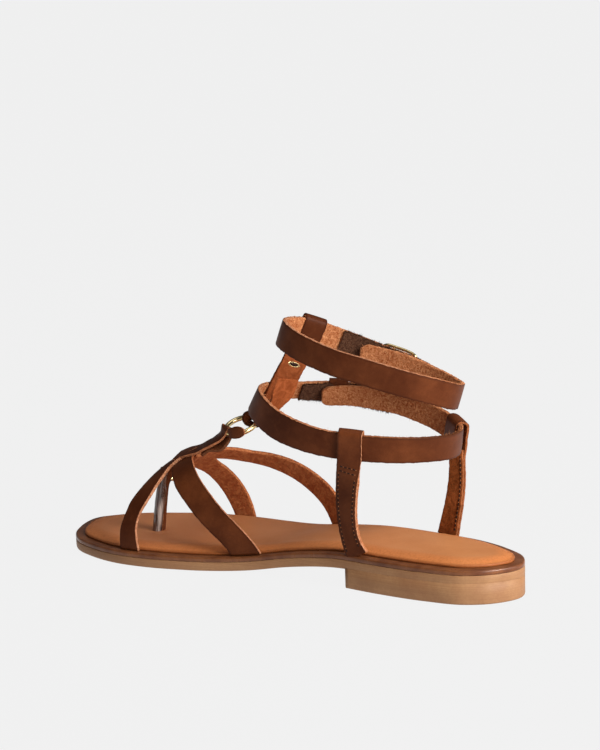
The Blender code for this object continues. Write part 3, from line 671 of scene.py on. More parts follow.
def laps_of(levels, height, *where):
    """Laps of the outline, one for each (inset, rise over a height that is a function of the place
    along)."""
    return [
        sole_lap(inset, lambda along, rise=rise: height(along) + rise, *where)
        for inset, rise in levels
    ]


def lap_faces(first, around):
    """Strips across one lap, from the inner to the outer edge."""
    low = np.arange(around // 2)
    left, right = (around - low) % around, (around - low - 1) % around
    quads = np.stack([low, low + 1, right, left], axis=1)
    inner = quads[(quads[:, 0] != quads[:, 3]) & (quads[:, 1] != quads[:, 2])]
    heel, toe = quads[0], quads[-1]
    ends = [np.array([[heel[0], heel[1], heel[2]]])]
    if toe[1] == toe[2]:
        ends.append(np.array([[toe[0], toe[1], toe[3]]]))
    return [first + inner] + [first + end for end in ends]


def stacked(name, stacks, look, replaces, fields=None):
    """Solids as one piece: laps of the outline, one above another, with strips across the lowest
    and highest."""
    faces, first = [], 0
    for laps in stacks:
        around = len(laps[0])
        last = first + (len(laps) - 1) * around
        faces += [first + grid_faces(len(laps), around)]
        faces += [face[:, ::-1] for face in lap_faces(first, around)] + lap_faces(last, around)
        first += len(laps) * around
    points = np.vstack([lap for laps in stacks for lap in laps])
    return make_piece(name, points, faces, look, replaces, fields)


# ---------------------------------------------------------------- the foot's form


def foot_point(turn, along):
    """The foot's surface, by the turn round it in degrees and the place along it.

    Its section is a rounded oval: across by the cosine of the turn and up by the sine, both to the
    same power, times half the distance between the strap seats and times the height of the
    instep."""
    inner, outer = edges_at(STRAP_SEAT, along)
    table = np.asarray(INSTEP)
    instep = through(table[:, 0], table[:, 1], along)
    power = 2 / FOOT_ROUNDNESS
    across = signed_power(np.cos(np.radians(turn)), power)
    up = np.abs(np.sin(np.radians(turn))) ** power
    x = (inner + outer) / 2 + (outer - inner) / 2 * across
    return np.stack([x, along, welt_top(along) + GAP + instep * up], axis=-1)


def foot_normal(turn, along):
    """Outward normal of the foot's surface: square to a small step along it and a small step round
    it."""
    turn = np.clip(turn, 2.0, 178.0)
    round_it = foot_point(turn + 1.0, along) - foot_point(turn - 1.0, along)
    along_it = foot_point(turn, along + 1.0) - foot_point(turn, along - 1.0)
    return unit(np.cross(along_it, round_it))


def foot_strap(rows, thick, seed, **more):
    """A ribbon laid on the foot's surface, with a line across it in each row; its outer face is
    that surface.

    Each end of a line is a point of the surface, raised by the row's lift along the surface's
    normal."""
    rows = refine(rows, 9)
    front = foot_point(rows[:, 0], rows[:, 1])
    back = foot_point(rows[:, 2], rows[:, 3])
    out = unit(foot_normal(rows[:, 0], rows[:, 1]) + foot_normal(rows[:, 2], rows[:, 3]))
    rise = rows[:, 4:5] * out
    lines = along_path(np.hstack([front + rise, back + rise, out]), 1.0)
    middle = (lines[:, :3] + lines[:, 3:6]) / 2
    across = unit(lines[:, 3:6] - lines[:, :3])
    out = lines[:, 6:9]
    out = unit(out - across * np.sum(out * across, axis=1, keepdims=True))
    half_width = np.linalg.norm(lines[:, 3:6] - lines[:, :3], axis=1) / 2
    return ribbon(middle - out * thick / 2, across, out, half_width, thick, seed, **more)


# ---------------------------------------------------------------- ankle straps


def ankle_middle(strap, turn):
    """The middle line of an ankle strap at a turn: a rounded oval, turned by its heading about its
    centre.

    Across is the cosine of the turn and ahead the sine, both to the same power. The height comes
    from its table."""
    rows = np.array(strap["rows"])[::-1]
    heading = math.radians(strap["heading"])
    power = 2 / OVAL_ROUNDNESS
    x = strap["half_width"] * signed_power(np.cos(np.radians(turn)), power)
    y = strap["half_length"] * signed_power(np.sin(np.radians(turn)), power)
    across = x * math.cos(heading) - y * math.sin(heading)
    ahead = x * math.sin(heading) + y * math.cos(heading)
    height = through(rows[:, 0], rows[:, 1], turn)
    return np.stack([strap["centre"][0] + across, strap["centre"][1] + ahead, height], axis=-1)


def ankle_frame(strap, turn, outward=0.0):
    """Middle, outward normal, upward direction, forward direction and width of an ankle strap at a
    turn.

    Forward is the way that the middle goes, and the normal is square to it and to the strap's lean.
    Where the strap overlaps itself, the middle moves out by one layer, eased between the two turns
    of its step."""
    turn = np.asarray(turn, float)
    rows = np.array(strap["rows"])[::-1]
    forward = unit(ankle_middle(strap, turn + 1.0) - ankle_middle(strap, turn - 1.0))
    width = through(rows[:, 0], rows[:, 2], turn)
    lean = through(rows[:, 0], rows[:, 3], turn)
    lean = unit(np.stack([lean * 0 + strap["lean_out"], -lean, lean * 0 + 1.0], axis=-1))
    normal = unit(np.cross(forward, lean))
    up = np.cross(normal, forward)
    start, end = strap["step"]
    share = ease((start - turn) / (start - end))
    middle = ankle_middle(strap, turn) + normal * (LAYER_STEP * share + outward)[..., None]
    return middle, normal, up, forward, width


def half_high(strap, turn):
    """Half the width of an ankle strap at a turn."""
    return float(ankle_frame(strap, turn)[4]) / 2


def turn_for(strap, turn, length):
    """Degrees of turn that cover a length along an ankle strap."""
    step = ankle_frame(strap, turn + 0.5)[0] - ankle_frame(strap, turn - 0.5)[0]
    return length / float(np.linalg.norm(step))


def ankle_strap(
    strap,
    seed,
    first=None,
    last=None,
    outward=0.0,
    thick=ANKLE_THICK,
    margin=0.0,
    tips=(5.0, 5.0),
    ragged=0.16,
):
    """A ribbon that follows an ankle strap from one turn to another.

    Its cut edges are palest on the far side of the ankle, and painted shade makes its leather darkest
    on the near side."""
    first = strap["rows"][0][0] if first is None else first
    last = strap["rows"][-1][0] if last is None else last
    turns = np.linspace(first, last, int(abs(first - last) * 0.8) + 8)
    middle, normal, up, _, width = ankle_frame(strap, turns, outward)
    from_far_side = np.abs((turns + 40) % 360 - 180)
    far = 1 - ease((from_far_side - 60) / 50)
    pale = (0.2 + 0.75 * far) * strap["pale"]
    if strap is LOWER:  # its edge has the colour of the face towards the heel
        pale = pale - ease((turns + 169) / 4) * ease((-75 - turns) / 20)
    # Painted shade on the near side of the ankle.
    painted_shade = (1 - far) * strap["painted_shade"]
    half_width = width / 2 - margin
    corner = 0.34
    return ribbon(
        middle, up, normal, half_width, thick, seed, tips, corner, ragged, pale=pale, painted_shade=painted_shade
    )


def loop_lines(strap, turn, half_length, stops):
    """Lines across a ribbon that wraps an ankle strap: each stop is (distance outwards, height over
    the middle)."""
    centre, normal, up, forward, _ = ankle_frame(strap, turn)
    points = [centre + out * normal + high * up for out, high in stops]
    half = forward * half_length
    return [[*(point + half), *(point - half)] for point in points]


# ---------------------------------------------------------------- materials


def colour(code):
    """A colour given as six hex digits, turned from screen values into linear ones."""
    parts = [int(code[k : k + 2], 16) / 255 for k in (0, 2, 4)]
    return tuple(p / 12.92 if p <= 0.04045 else ((p + 0.055) / 1.055) ** 2.4 for p in parts)


class Graph:
    """The nodes of one material, with short calls for the ones used here."""

    def __init__(self, name):
        """An empty material with one shader on its surface."""
        self.material = bpy.data.materials.new(name)
        self.material.use_nodes = True
        self.tree = self.material.node_tree
        self.tree.nodes.clear()
        output = self.tree.nodes.new("ShaderNodeOutputMaterial")
        self.shader = self.tree.nodes.new("ShaderNodeBsdfPrincipled")
        self.tree.links.new(self.shader.outputs["BSDF"], output.inputs["Surface"])
        self.place = self.tree.nodes.new("ShaderNodeTexCoord").outputs["Object"]

    def put(self, socket, value):
        """Links a socket to another, or sets its value; a colour gets its fourth number."""
        if hasattr(value, "is_output"):
            self.tree.links.new(value, socket)
        else:
            if isinstance(value, tuple) and len(value) < len(socket.default_value):
                value = (*value, 1.0)
            socket.default_value = value

    def set(self, **values):
        """Puts values or sockets into the shader, by the names of its inputs."""
        for key, value in values.items():
            self.put(self.shader.inputs[key.replace("_", " ")], value)

    def field(self, name):
        """A field that the piece's mesh carries."""
        node = self.tree.nodes.new("ShaderNodeAttribute")
        node.attribute_name = name
        return node.outputs["Fac"]

    def maths(self, operation, a, b=0.0, clamp=False):
        """The sum or product of two values, or the size of one."""
        node = self.tree.nodes.new("ShaderNodeMath")
        node.operation = operation
        node.use_clamp = clamp
        self.put(node.inputs[0], a)
        self.put(node.inputs[1], b)
        return node.outputs[0]

    def ahead(self, start, gain):
        """How far ahead a place is: its distance in front of start, times gain."""
        node = self.tree.nodes.new("ShaderNodeSeparateXYZ")
        self.put(node.inputs[0], self.place)
        return self.maths("MULTIPLY", self.maths("ADD", node.outputs[1], -start), gain)

    def stretch(self, scale):
        """The place, scaled by three numbers."""
        node = self.tree.nodes.new("ShaderNodeMapping")
        self.put(node.inputs["Vector"], self.place)
        node.inputs["Scale"].default_value = scale
        return node.outputs[0]

    def noise(self, scale, detail=3.0, rough=0.55, vector=None, distort=0.0):
        """Cloudy noise, with scale features to a metre."""
        node = self.tree.nodes.new("ShaderNodeTexNoise")
        self.put(node.inputs["Vector"], self.place if vector is None else vector)
        node.inputs["Scale"].default_value = scale
        node.inputs["Detail"].default_value = detail
        node.inputs["Roughness"].default_value = rough
        node.inputs["Distortion"].default_value = distort
        return node.outputs["Fac"]

    def cells(self, scale):
        """Distance to the nearest of scattered points, scale of them to a metre."""
        node = self.tree.nodes.new("ShaderNodeTexVoronoi")
        self.put(node.inputs["Vector"], self.place)
        node.inputs["Scale"].default_value = scale
        return node.outputs["Distance"]

    def ramp(self, factor, *stops):
        """A level for each factor: straight lines between stops of (factor, level)."""
        node = self.tree.nodes.new("ShaderNodeValToRGB")
        self.put(node.inputs[0], factor)
        bar = node.color_ramp.elements
        while len(bar) < len(stops):
            bar.new(0.5)
        for element, (place, level) in zip(bar, stops):
            element.position = place
            element.color = (level, level, level, 1.0)
        return node.outputs["Color"]

    def mix(self, factor, a, b):
        """a at factor 0, b at factor 1."""
        node = self.tree.nodes.new("ShaderNodeMix")
        node.data_type = "RGBA"
        for socket, value in zip((node.inputs[0], node.inputs[6], node.inputs[7]), (factor, a, b)):
            self.put(socket, value)
        return node.outputs[2]

    def over(self, base, top, factor, *stops):
        """base with top laid over it, by as much as a ramp of the factor says; each is a socket or
        a colour code."""
        amount = self.ramp(factor, *(stops or ((0.3, 0.0), (0.7, 1.0))))
        layers = (colour(layer) if isinstance(layer, str) else layer for layer in (base, top))
        return self.mix(amount, *layers)

    def bump(self, height, strength, distance, normal=None):
        """The normal, bent as if the height stood distance high, on top of another bump if one is
        given."""
        node = self.tree.nodes.new("ShaderNodeBump")
        self.put(node.inputs["Height"], height)
        node.inputs["Strength"].default_value = strength
        node.inputs["Distance"].default_value = distance
        if normal is not None:
            self.put(node.inputs["Normal"], normal)
        return node.outputs["Normal"]


def strap_leather(name, flesh=("8a4a26", "c67f4e"), clump=600.0):
    """Smooth brown grain outside, tan nap inside, cut edges between that are paler where the field
    pale says so.

    The face is a cloudy blend of two browns, darkened by fine grain, mottled darker and lighter,
    and darker towards its edges. The nap is the two flesh colours in tufts, with darker fibres and
    patches. A negative pale brings the colour of the face onto the cut edge, and a field of painted
    shade darkens all of it."""
    g = Graph(name)
    dark_flesh, light_flesh = flesh
    cloud = g.noise(60, 3.0, 0.5)
    grain = g.noise(1700, 4.0, 0.6)
    face = g.over("48200d", "6b381d", cloud, (0.30, 0.0), (0.72, 1.0))
    face = g.over(face, "351709", grain, (0.25, 0.30), (0.8, 0.0))
    mottle = g.noise(380, 4.0, 0.65, distort=0.5)
    face = g.over(face, "33160a", mottle, (0.34, 0.13), (0.56, 0.0))
    face = g.over(face, "8a5334", mottle, (0.54, 0.0), (0.78, 0.09))
    face = g.over(face, "381a0e", g.maths("ABSOLUTE", g.field("side")), (0.84, 0.0), (0.99, 0.5))
    fibre = g.noise(1000, 5.0, 0.7, distort=0.8)
    tufts = g.noise(clump, 4.0, 0.65, distort=1.2)
    suede = g.over(dark_flesh, light_flesh, tufts, (0.36, 0.0), (0.66, 1.0))
    suede = g.over(suede, dark_flesh, fibre, (0.30, 0.4), (0.6, 0.0))
    suede = g.over(suede, dark_flesh, g.noise(130, 3.0, 0.6), (0.38, 0.35), (0.66, 0.0))
    cut = g.over("a36b4b", "cc9572", g.noise(1300, 4.0, 0.6))
    cut = g.over(cut, "7a4326", fibre, (0.40, 0.0), (0.62, 0.75))
    cut = g.mix(g.field("pale"), suede, cut)
    cut = g.mix(g.maths("MULTIPLY", g.field("pale"), -1.0, clamp=True), cut, face)
    both = g.over(face, suede, g.field("flesh"), (0.45, 0.0), (0.55, 1.0))
    shown = g.over(both, cut, g.field("cut"), (0.45, 0.0), (0.7, 1.0))
    # Painted shade: the mesh's shade field darkens the colour towards a deep brown.
    shown = g.mix(g.maths("MULTIPLY", g.field("painted_shade"), 0.85), shown, colour("2a1208"))
    is_flesh = g.ramp(g.maths("ADD", g.field("flesh"), g.field("cut")), (0.45, 0.0), (0.6, 1.0))
    rough = g.mix(is_flesh, g.ramp(cloud, (0.3, 0.50), (0.7, 0.40)), (0.92, 0.92, 0.92))
    pores = g.bump(grain, 0.22, 0.0001)
    pores = g.bump(cloud, 0.2, 0.0006, pores)
    nap = g.bump(g.mix(0.6, fibre, tufts), 0.8, 0.0007)
    normal = g.mix(is_flesh, pores, nap)
    g.set(Base_Color=shown, Roughness=rough, Normal=normal, Specular_IOR_Level=0.06)
    return g.material


def insole_leather():
    """Orange tan leather, with a painted highlight that makes the band round its edge more orange,
    and fine wrinkles there with painted shade in them.

    The colour is a cloudy blend with grain over it, and painted shade makes it a little duller
    towards the toe and darker at its very edge. The field rim, the distance from the edge in
    centimetres, gives the band."""
    g = Graph("insole_leather")
    cloud = g.noise(40, 4.0, 0.55)
    grain = g.noise(1500, 4.0, 0.6)
    # Painted shade: the colour dulls towards the toe.
    painted_light = g.ramp(g.ahead(-0.12, 4.2), (0.0, 0.0), (1.0, 1.0))
    base = g.over("c27c49", "d28d58", cloud)
    base = g.mix(painted_light, base, colour("c27b4f"))
    # Painted highlight: the band round the edge, where the rolled cushion catches the light, is more
    # orange.
    band = g.ramp(g.field("rim"), (0.0, 1.0), (0.5, 0.7), (0.9, 0.0))
    base = g.mix(g.maths("MULTIPLY", band, 0.6), base, colour("d0783a"))
    base = g.over(base, "8f5029", grain, (0.3, 0.25), (0.75, 0.0))
    # Painted shade: darker within about 1.5 mm of the edge, where it tucks down to the welt.
    base = g.over(base, "6e3515", g.field("rim"), (0.03, 0.6), (0.16, 0.0))
    wrinkle = g.noise(600, 3.0, 0.65, vector=g.stretch((1.5, 2.2, 0.25)), distort=0.3)
    # Painted shade in the troughs of the band's wrinkles.
    in_band = g.maths("MULTIPLY", g.ramp(wrinkle, (0.35, 0.5), (0.55, 0.0)), band)
    base = g.mix(in_band, base, colour("96501f"))
    normal = g.bump(grain, 0.2, 0.00015)
    normal = g.bump(g.maths("MULTIPLY", wrinkle, band), 0.5, 0.0004, normal)
    g.set(Base_Color=base, Roughness=g.ramp(cloud, (0.3, 0.55), (0.7, 0.46)), Normal=normal)
    g.set(Specular_IOR_Level=0.25)
    return g.material


def welt_leather():
    """Dark brown leather with a waxed edge, cloudy and a little scuffed: a blend of two browns
    under dark grain."""
    g = Graph("welt_leather")
    cloud = g.noise(120, 4.0, 0.6)
    grain = g.noise(1300, 4.0, 0.6)
    base = g.over("5e3017", "85512f", cloud)
    base = g.over(base, "41220f", grain, (0.3, 0.35), (0.7, 0.0))
    normal = g.bump(grain, 0.3, 0.00015)
    g.set(Base_Color=base, Roughness=g.ramp(cloud, (0.3, 0.40), (0.7, 0.26)), Normal=normal)
    g.set(Specular_IOR_Level=0.34)
    return g.material


def outsole_rubber():
    """Tan moulded sole with fine level lines round its side: noise that is squeezed flat, over a
    cloudy blend."""
    g = Graph("outsole_rubber")
    cloud = g.noise(60, 4.0, 0.6)
    level = g.noise(1.0, 4.0, 0.7, vector=g.stretch((9.0, 9.0, 2100.0)))
    # Painted shade: darker towards the toe.
    toe = g.ramp(g.ahead(-0.02, 7.0), (0.0, 0.0), (1.0, 0.5))
    fine = g.noise(900, 3.0, 0.6)
    base = g.over("966a48", "ac8058", cloud)
    base = g.mix(toe, base, colour("835f48"))
    base = g.over(base, "7b5338", level, (0.35, 0.38), (0.60, 0.0))
    base = g.over(base, "7a5236", fine, (0.3, 0.25), (0.7, 0.0))
    normal = g.bump(level, 0.35, 0.0003)
    normal = g.bump(fine, 0.2, 0.0001, normal)
    g.set(Base_Color=base, Roughness=0.5, Normal=normal, Specular_IOR_Level=0.22)
    return g.material


def gold_metal():
    """Pale gold plating with fine hairlines in its roughness."""
    g = Graph("gold_metal")
    hair = g.noise(2500, 3.0, 0.6)
    base = g.over("cdb078", "ecd8a6", g.noise(300, 3.0))
    rough = g.ramp(hair, (0.3, 0.16), (0.7, 0.26))
    g.set(Base_Color=base, Metallic=1.0, Roughness=rough, Normal=g.bump(hair, 0.1, 0.00003))
    return g.material


def sleeve_gloss():
    """Dark brown glossy sleeve of the toe post: streaks that run its length, and a painted highlight,
    a pale stripe down one side, given by a field that the mesh carries."""
    g = Graph("sleeve_gloss")
    cloud = g.noise(420, 3.0, 0.6, vector=g.stretch((1.0, 1.0, 0.12)))
    base = g.over("2c1811", "6e574d", cloud, (0.38, 0.0), (0.68, 1.0))
    # Painted highlight: a pale stripe where the field is high, on the side that faces the camera.
    line = g.ramp(g.field("painted_highlight"), (0.88, 0.0), (0.98, 1.0))
    painted_light = g.maths("MULTIPLY", line, g.ramp(cloud, (0.30, 0.1), (0.62, 0.8)))
    base = g.mix(painted_light, base, colour("c9bdb4"))
    rough = g.ramp(cloud, (0.3, 0.12), (0.7, 0.24))
    g.set(Base_Color=base, Roughness=rough, Normal=g.bump(cloud, 0.3, 0.0004))
    g.set(Specular_IOR_Level=0.6, Coat_Weight=0.6, Coat_Roughness=0.12)
    return g.material


def fastener_fabric():
    """Dark hook and loop cloth: a blend of two browns by tangled noise, with knots in its bump."""
    g = Graph("fastener_fabric")
    tangle = g.noise(1400, 6.0, 0.75, distort=1.5)
    knots = g.cells(900)
    base = g.over("351b10", "7a5640", tangle, (0.42, 0.0), (0.72, 1.0))
    normal = g.bump(tangle, 0.9, 0.0006)
    normal = g.bump(knots, 0.5, 0.0004, normal)
    g.set(Base_Color=base, Roughness=0.95, Normal=normal, Specular_IOR_Level=0.1)
    return g.material


def thread(name, code):
    """Twisted thread or fibre: its colour and one 1.6 times as light, blended by fine noise."""
    g = Graph(name)
    twist = g.noise(2600, 3.0, 0.6)
    base = g.over(code, tuple(min(1.0, 1.6 * c) for c in colour(code)), twist)
    normal = g.bump(twist, 0.5, 0.0001)
    g.set(Base_Color=base, Roughness=0.75, Normal=normal, Specular_IOR_Level=0.15)
    return g.material


def floor_paint():
    """Pale matt studio floor that glows a little, so that shadows on it stay faint: two greys
    blended by broad noise."""
    g = Graph("floor_paint")
    base = g.over((0.010,) * 3, (0.011,) * 3, g.noise(3.0, 2.0, 0.5))
    g.set(Base_Color=base, Roughness=1.0, Specular_IOR_Level=0.0)
    g.set(Emission_Color=(1.0, 1.0, 1.0, 1.0), Emission_Strength=0.864)
    return g.material


LEATHER = strap_leather("strap_leather")
FOOT_LEATHER = strap_leather("foot_strap_leather", ("98502d", "cf8452"), 360.0)
ANKLE_LEATHER = strap_leather("ankle_strap_leather", ("8a4725", "dc9a69"), 760.0)
# Painted shade: a darker copy of the strap leather, for the outer heel strap whose flesh side lies in
# shade.
SHADED_LEATHER = strap_leather("far_strap_shaded_leather", ("653213", "9c552c"), 300.0)
T_LEATHER = strap_leather("t_strap_leather", ("7a3b1b", "a65a32"), 260.0)
INSOLE = insole_leather()
WELT = welt_leather()
OUTSOLE = outsole_rubber()
GOLD = gold_metal()
SLEEVE = sleeve_gloss()
FASTENER = fastener_fabric()
DARK_THREAD = thread("dark_thread", "1f0e07")
TAN_THREAD = thread("tan_thread", "7d4e31")
LOOSE_FIBRE = thread("loose_fibre", "8f5632")
NAP_FIBRE = thread("nap_fibre", "a76a42")


# ---------------------------------------------------------------- sole


def make_outsole():
    """A plate with rounded edges that follows the arch, and the heel block under it, as one piece
    of two skins.

    Each is laps of the sole's outline, one above another; a larger inset at the first and last
    rounds the edge."""
    edge = [(1.1, 0.0), (0.45, 0.12), (0.12, 0.4), (0.0, 0.9), (0.0, 2.4), (0.0, 3.9), (0.18, 4.25)]
    plate = laps_of([*edge, (0.6, OUTSOLE_THICK)], underside)
    heel = [(1.0, 0.0), (0.5, 0.1), (0.18, 0.45), (0.05, 1.0), (0.05, 4.5)]
    block = laps_of(heel, lambda along: along * 0, 60, HEEL_BREAST)
    block += laps_of([(0.05, 2.0)], underside, 60, HEEL_BREAST)
    stacked("sole_unit", [plate, block], OUTSOLE, ("outsole",))


def make_welt():
    """Laps of the sole's outline on the outsole, rounded at both edges, the last one well in under
    the insole."""
    low = OUTSOLE_THICK + 0.02
    top = WELT_TOP - low
    levels = [(0.3, 0.0), (0.1, 0.12), (0.0, 0.4), (0.0, 1.4)]
    levels += [(0.1, top - 0.4), (0.35, top - 0.12), (0.8, top), (RIM + 3.0, top)]
    laps = laps_of(levels, lambda along: underside(along) + low)
    stacked("welt_layer", [laps], WELT, ("welt",))


def make_insole():
    """A thin cushion: its height over the welt grows with the distance from its edge, up to the
    crown.

    Its laps shrink from the edge towards the middle line. Where the toe post goes in, it dips in a
    bell curve, with a low ring beside it."""
    crown = [  # distance from the edge, height over the welt
        (0.0, 0.95),
        (0.5, 1.3),
        (2.0, 1.85),
        (4.5, 2.6),
        (7.0, 3.0),
        (9.0, 3.08),
        (11.0, 3.0),
        (14.0, 3.05),
        (20.0, 3.25),
        (40.0, 3.35),
    ]
    hole_x, hole_along = -9.3, 197.0
    dip_deep, dip_wide = 0.5, 4.0
    ring_high, ring_from_hole, ring_wide = 0.18, 6.5, 2.0
    laps = laps_of([(RIM + 0.9, 0.02), (RIM + 0.25, 0.1), (RIM + 0.05, 0.4), (RIM, 0.8)], welt_top)
    rim = [np.zeros(len(lap)) for lap in laps]
    edge = sole_lap(RIM, welt_top)
    mirror = np.concatenate([[0], np.arange(len(edge) - 1, 0, -1)])
    middle = (edge + edge[mirror]) / 2
    for share in np.concatenate([np.linspace(0, 0.4, 15), np.linspace(0.46, 0.94, 9), [0.985]]):
        lap = edge + (middle - edge) * share
        away = np.sqrt(((lap[:, None, :2] - edge[None, :, :2]) ** 2).sum(axis=2)).min(axis=1)
        lap[:, 2] = welt_top(lap[:, 1]) + np.interp(away, *np.transpose(crown))
        from_hole = np.hypot(lap[:, 0] - hole_x, lap[:, 1] - hole_along)
        dip = dip_deep * np.exp(-((from_hole / dip_wide) ** 2))
        ring = ring_high * np.exp(-(((from_hole - ring_from_hole) / ring_wide) ** 2))
        lap[:, 2] += ring - dip
        laps.append(lap)
        rim.append(away / 10)
    fields = {"rim": np.concatenate(rim)}
    piece = stacked("insole_cushion", [laps], INSOLE, ("insole",), fields)


# ---------------------------------------------------------------- straps


def ring_axes():
    """Centre, forward, outward and normal direction of the ring."""
    normal = unit(RING_NORMAL)
    ahead = unit(np.array([0.0, 1.0, 0.0]) - normal * normal[1])
    return np.array(RING_CENTRE), ahead, np.cross(ahead, normal), normal


def ring_wrap():
    """Lines across the centre strap where it turns round the ring's wire: steps of a circle round
    the wire."""
    centre, ahead, side, normal = ring_axes()
    place, facing = math.radians(-42.0), math.radians(-64.0)
    radius, inner_half, outer_half, drop = 2.0, 3.9, 2.8, 0.8
    wire = centre + RING_RADIUS * (math.cos(place) * ahead + math.sin(place) * side)
    out = math.cos(facing) * ahead + math.sin(facing) * side
    tangent = math.cos(facing) * side - math.sin(facing) * ahead
    lines = []
    for turn in np.radians([88, 115, 145, 180, 220, 255]):
        point = wire + radius * (math.cos(turn) * out + math.sin(turn) * normal)
        one, other = point - tangent * inner_half, point + tangent * outer_half - normal * drop
        lines.append([*one, *other])
    return lines


def make_forefoot():
    """The straps over the toes: each its own ribbon, lapped where they cross.

    The centre strap goes to the ring, round its wire and back under itself, where painted shade
    darkens it; a short tail stands beside the ring, a little darkened by painted shade too."""

    def inner_pale(share):
        """Pale cut edges on the inner side, up to the crossing."""
        return 0.9 - 0.85 * ease((share - 0.35) / 0.1)

    def shade_under_layer(share):
        """Painted shade: darker where the centre strap comes back under itself."""
        return 0.75 * ease((share - 0.62) / 0.06)

    inner_creases = ((12.0, 0.5, 0.10, 1.1), (74.0, 0.6, 0.12, 1.3))
    front_creases = ((22.0, -0.4, 0.08, 1.5),)
    centre = dict(thick=1.4, seed=14, flip=-1.0, pale=0.55, painted_shade=shade_under_layer, corner=0.3)
    tail = dict(thick=1.5, seed=15, flip=-1.0, tips=(0.0, 3.0), pale=0.0, painted_shade=0.15)
    parts = [
        foot_strap(INNER_TO_OUTER_STRAP, STRAP_THICK, 11, pale=inner_pale, creases=inner_creases),
        foot_strap(BACK_OUTER_STRAP, STRAP_THICK, 12, pale=0.1),
        foot_strap(FRONT_INNER_STRAP, STRAP_THICK, 13, creases=front_creases),
        ribbon_through([*CENTRE_STRAP, *ring_wrap(), *CENTRE_RETURN], 0.6, **centre),
        ribbon_through(CENTRE_TAIL, 0.5, **tail),
    ]
    joined("forefoot_upper", parts, FOOT_LEATHER, ("forefoot_straps",))


def make_ring():
    """A torus: the wire's circle carried round the ring."""
    centre, ahead, side, normal = ring_axes()
    turn = circle(72)[:, None, None]
    wire = circle(16)[None, :, None]
    out = np.cos(turn) * ahead + np.sin(turn) * side
    flat = centre + out * (RING_RADIUS + RING_WIRE * np.cos(wire))
    grid = flat + normal * RING_WIRE * np.sin(wire)
    tube("joining_ring", grid, GOLD, ("ring",), closed=True)


def make_ankle_straps():
    """Both ankle straps and the touch fastener inside each: ribbons that follow the straps' ovals.

    Fibres are noted for the cut edges, for the nap along each line of the flesh side, and for the
    pile at the fasteners' edges."""
    flesh_columns = np.flatnonzero((SECTION[:, 4] == 1) & (SECTION[:, 5] == 0))
    face_middle = 6
    for word, strap, seed, nap_count in (("upper", UPPER, 21, 100), ("lower", LOWER, 22, 80)):
        part = ankle_strap(strap, seed)
        name, node = word + "_ankle_strap", "ankle_strap_" + word
        joined(name, [part], ANKLE_LEATHER, (node,))
        note_edges(EDGES, part[0], EDGE_WILD, (90, 0.7), (60, 0.7))
        face = part[0][:, face_middle]
        for column in flesh_columns:
            inside = part[0][:, column]
            NAP.append((inside, inside - face, nap_count, NAP_LONG, NAP_WILD))
    for word, strap in (("upper", UPPER), ("lower", LOWER)):
        outward = -(ANKLE_THICK + FASTENER_THICK) / 2 - 0.05
        first, last = strap["rows"][0][0] + 14 - 360, strap["rows"][-1][0] + 6
        size = dict(thick=FASTENER_THICK, margin=0.1, tips=(0.0, 0.0), ragged=0.45)
        part = ankle_strap(strap, 23, first, last, outward, **size)
        name, node = word + "_fastener", "touch_fastener_" + word
        joined(name, [part], FASTENER, (node,))
        note_edges(PILE, part[0], PILE_WILD, (1500, 0.9), (600, 0.9))


def turned_to(loop, start):
    """The lines of a loop, each turned end for end if the first one runs against the line that it
    starts from."""
    if np.dot(np.subtract(loop[0][3:], loop[0][:3]), np.subtract(start[3:], start[:3])) < 0:
        loop = [line[3:] + line[:3] for line in loop]
    return loop


def heel_strap(name, rows, turn, side, seed, node):
    """An outer layer that goes up the leg, folds over the lower ankle strap and ends inside it, and
    a lining layer.

    Both are lines across, along the foot, at the table's heights. side is -1 for the inner strap, 1
    for the outer."""
    outer_one = side > 0
    legs = np.array([(x, front, z, x, back, z) for z, x, front, back in rows])
    shift = np.array([side * HEEL_LAYER / 2, 0, 0] * 2)
    high = half_high(LOWER, turn) - (0.9 if outer_one else -0.1)
    loose = 1.3 if outer_one else 0.0
    stops = [
        (2.3 + loose, -high + 1.0),
        (2.3 + loose, high - 1.5),
        (1.9 + 0.6 * loose, high + 0.6),
        (0.0, high + 1.5),
        (-1.9, high + 0.6),
        (-2.3, high - 1.5),
        (-2.3, -high + 1.0),
        (-2.2, -high - (3.0 if outer_one else 0.4)),
    ]
    loop = turned_to(loop_lines(LOWER, turn, 5.5, stops), legs[-1])
    outer = along_path(np.vstack([legs + shift, loop]), 0.8)
    lining_end = legs[-1] - shift + np.array([0, 0, 5.0] * 2)
    lining = along_path(np.vstack([legs - shift, [lining_end]]), 0.8)
    parts = []
    for number, (lines, narrower, pale) in enumerate(((outer, 0.0, 0.85), (lining, 0.25, 0.4))):
        middle, across, outward, half_width = lines_across(lines, flip=-side)
        half_width = half_width - narrower
        look = dict(corner=0.35, ragged=0.12, pale=0.2 if outer_one else pale)
        layer = ribbon(middle, across, outward, half_width, HEEL_LAYER, seed + number, **look)
        note_edges(EDGES, layer[0], EDGE_WILD, (16, 0.5), (8, 0.4))
        parts.append(layer)
    # The outer strap gets the darker copy: painted shade.
    joined(name, parts, SHADED_LEATHER if outer_one else LEATHER, (node,))
    return outer


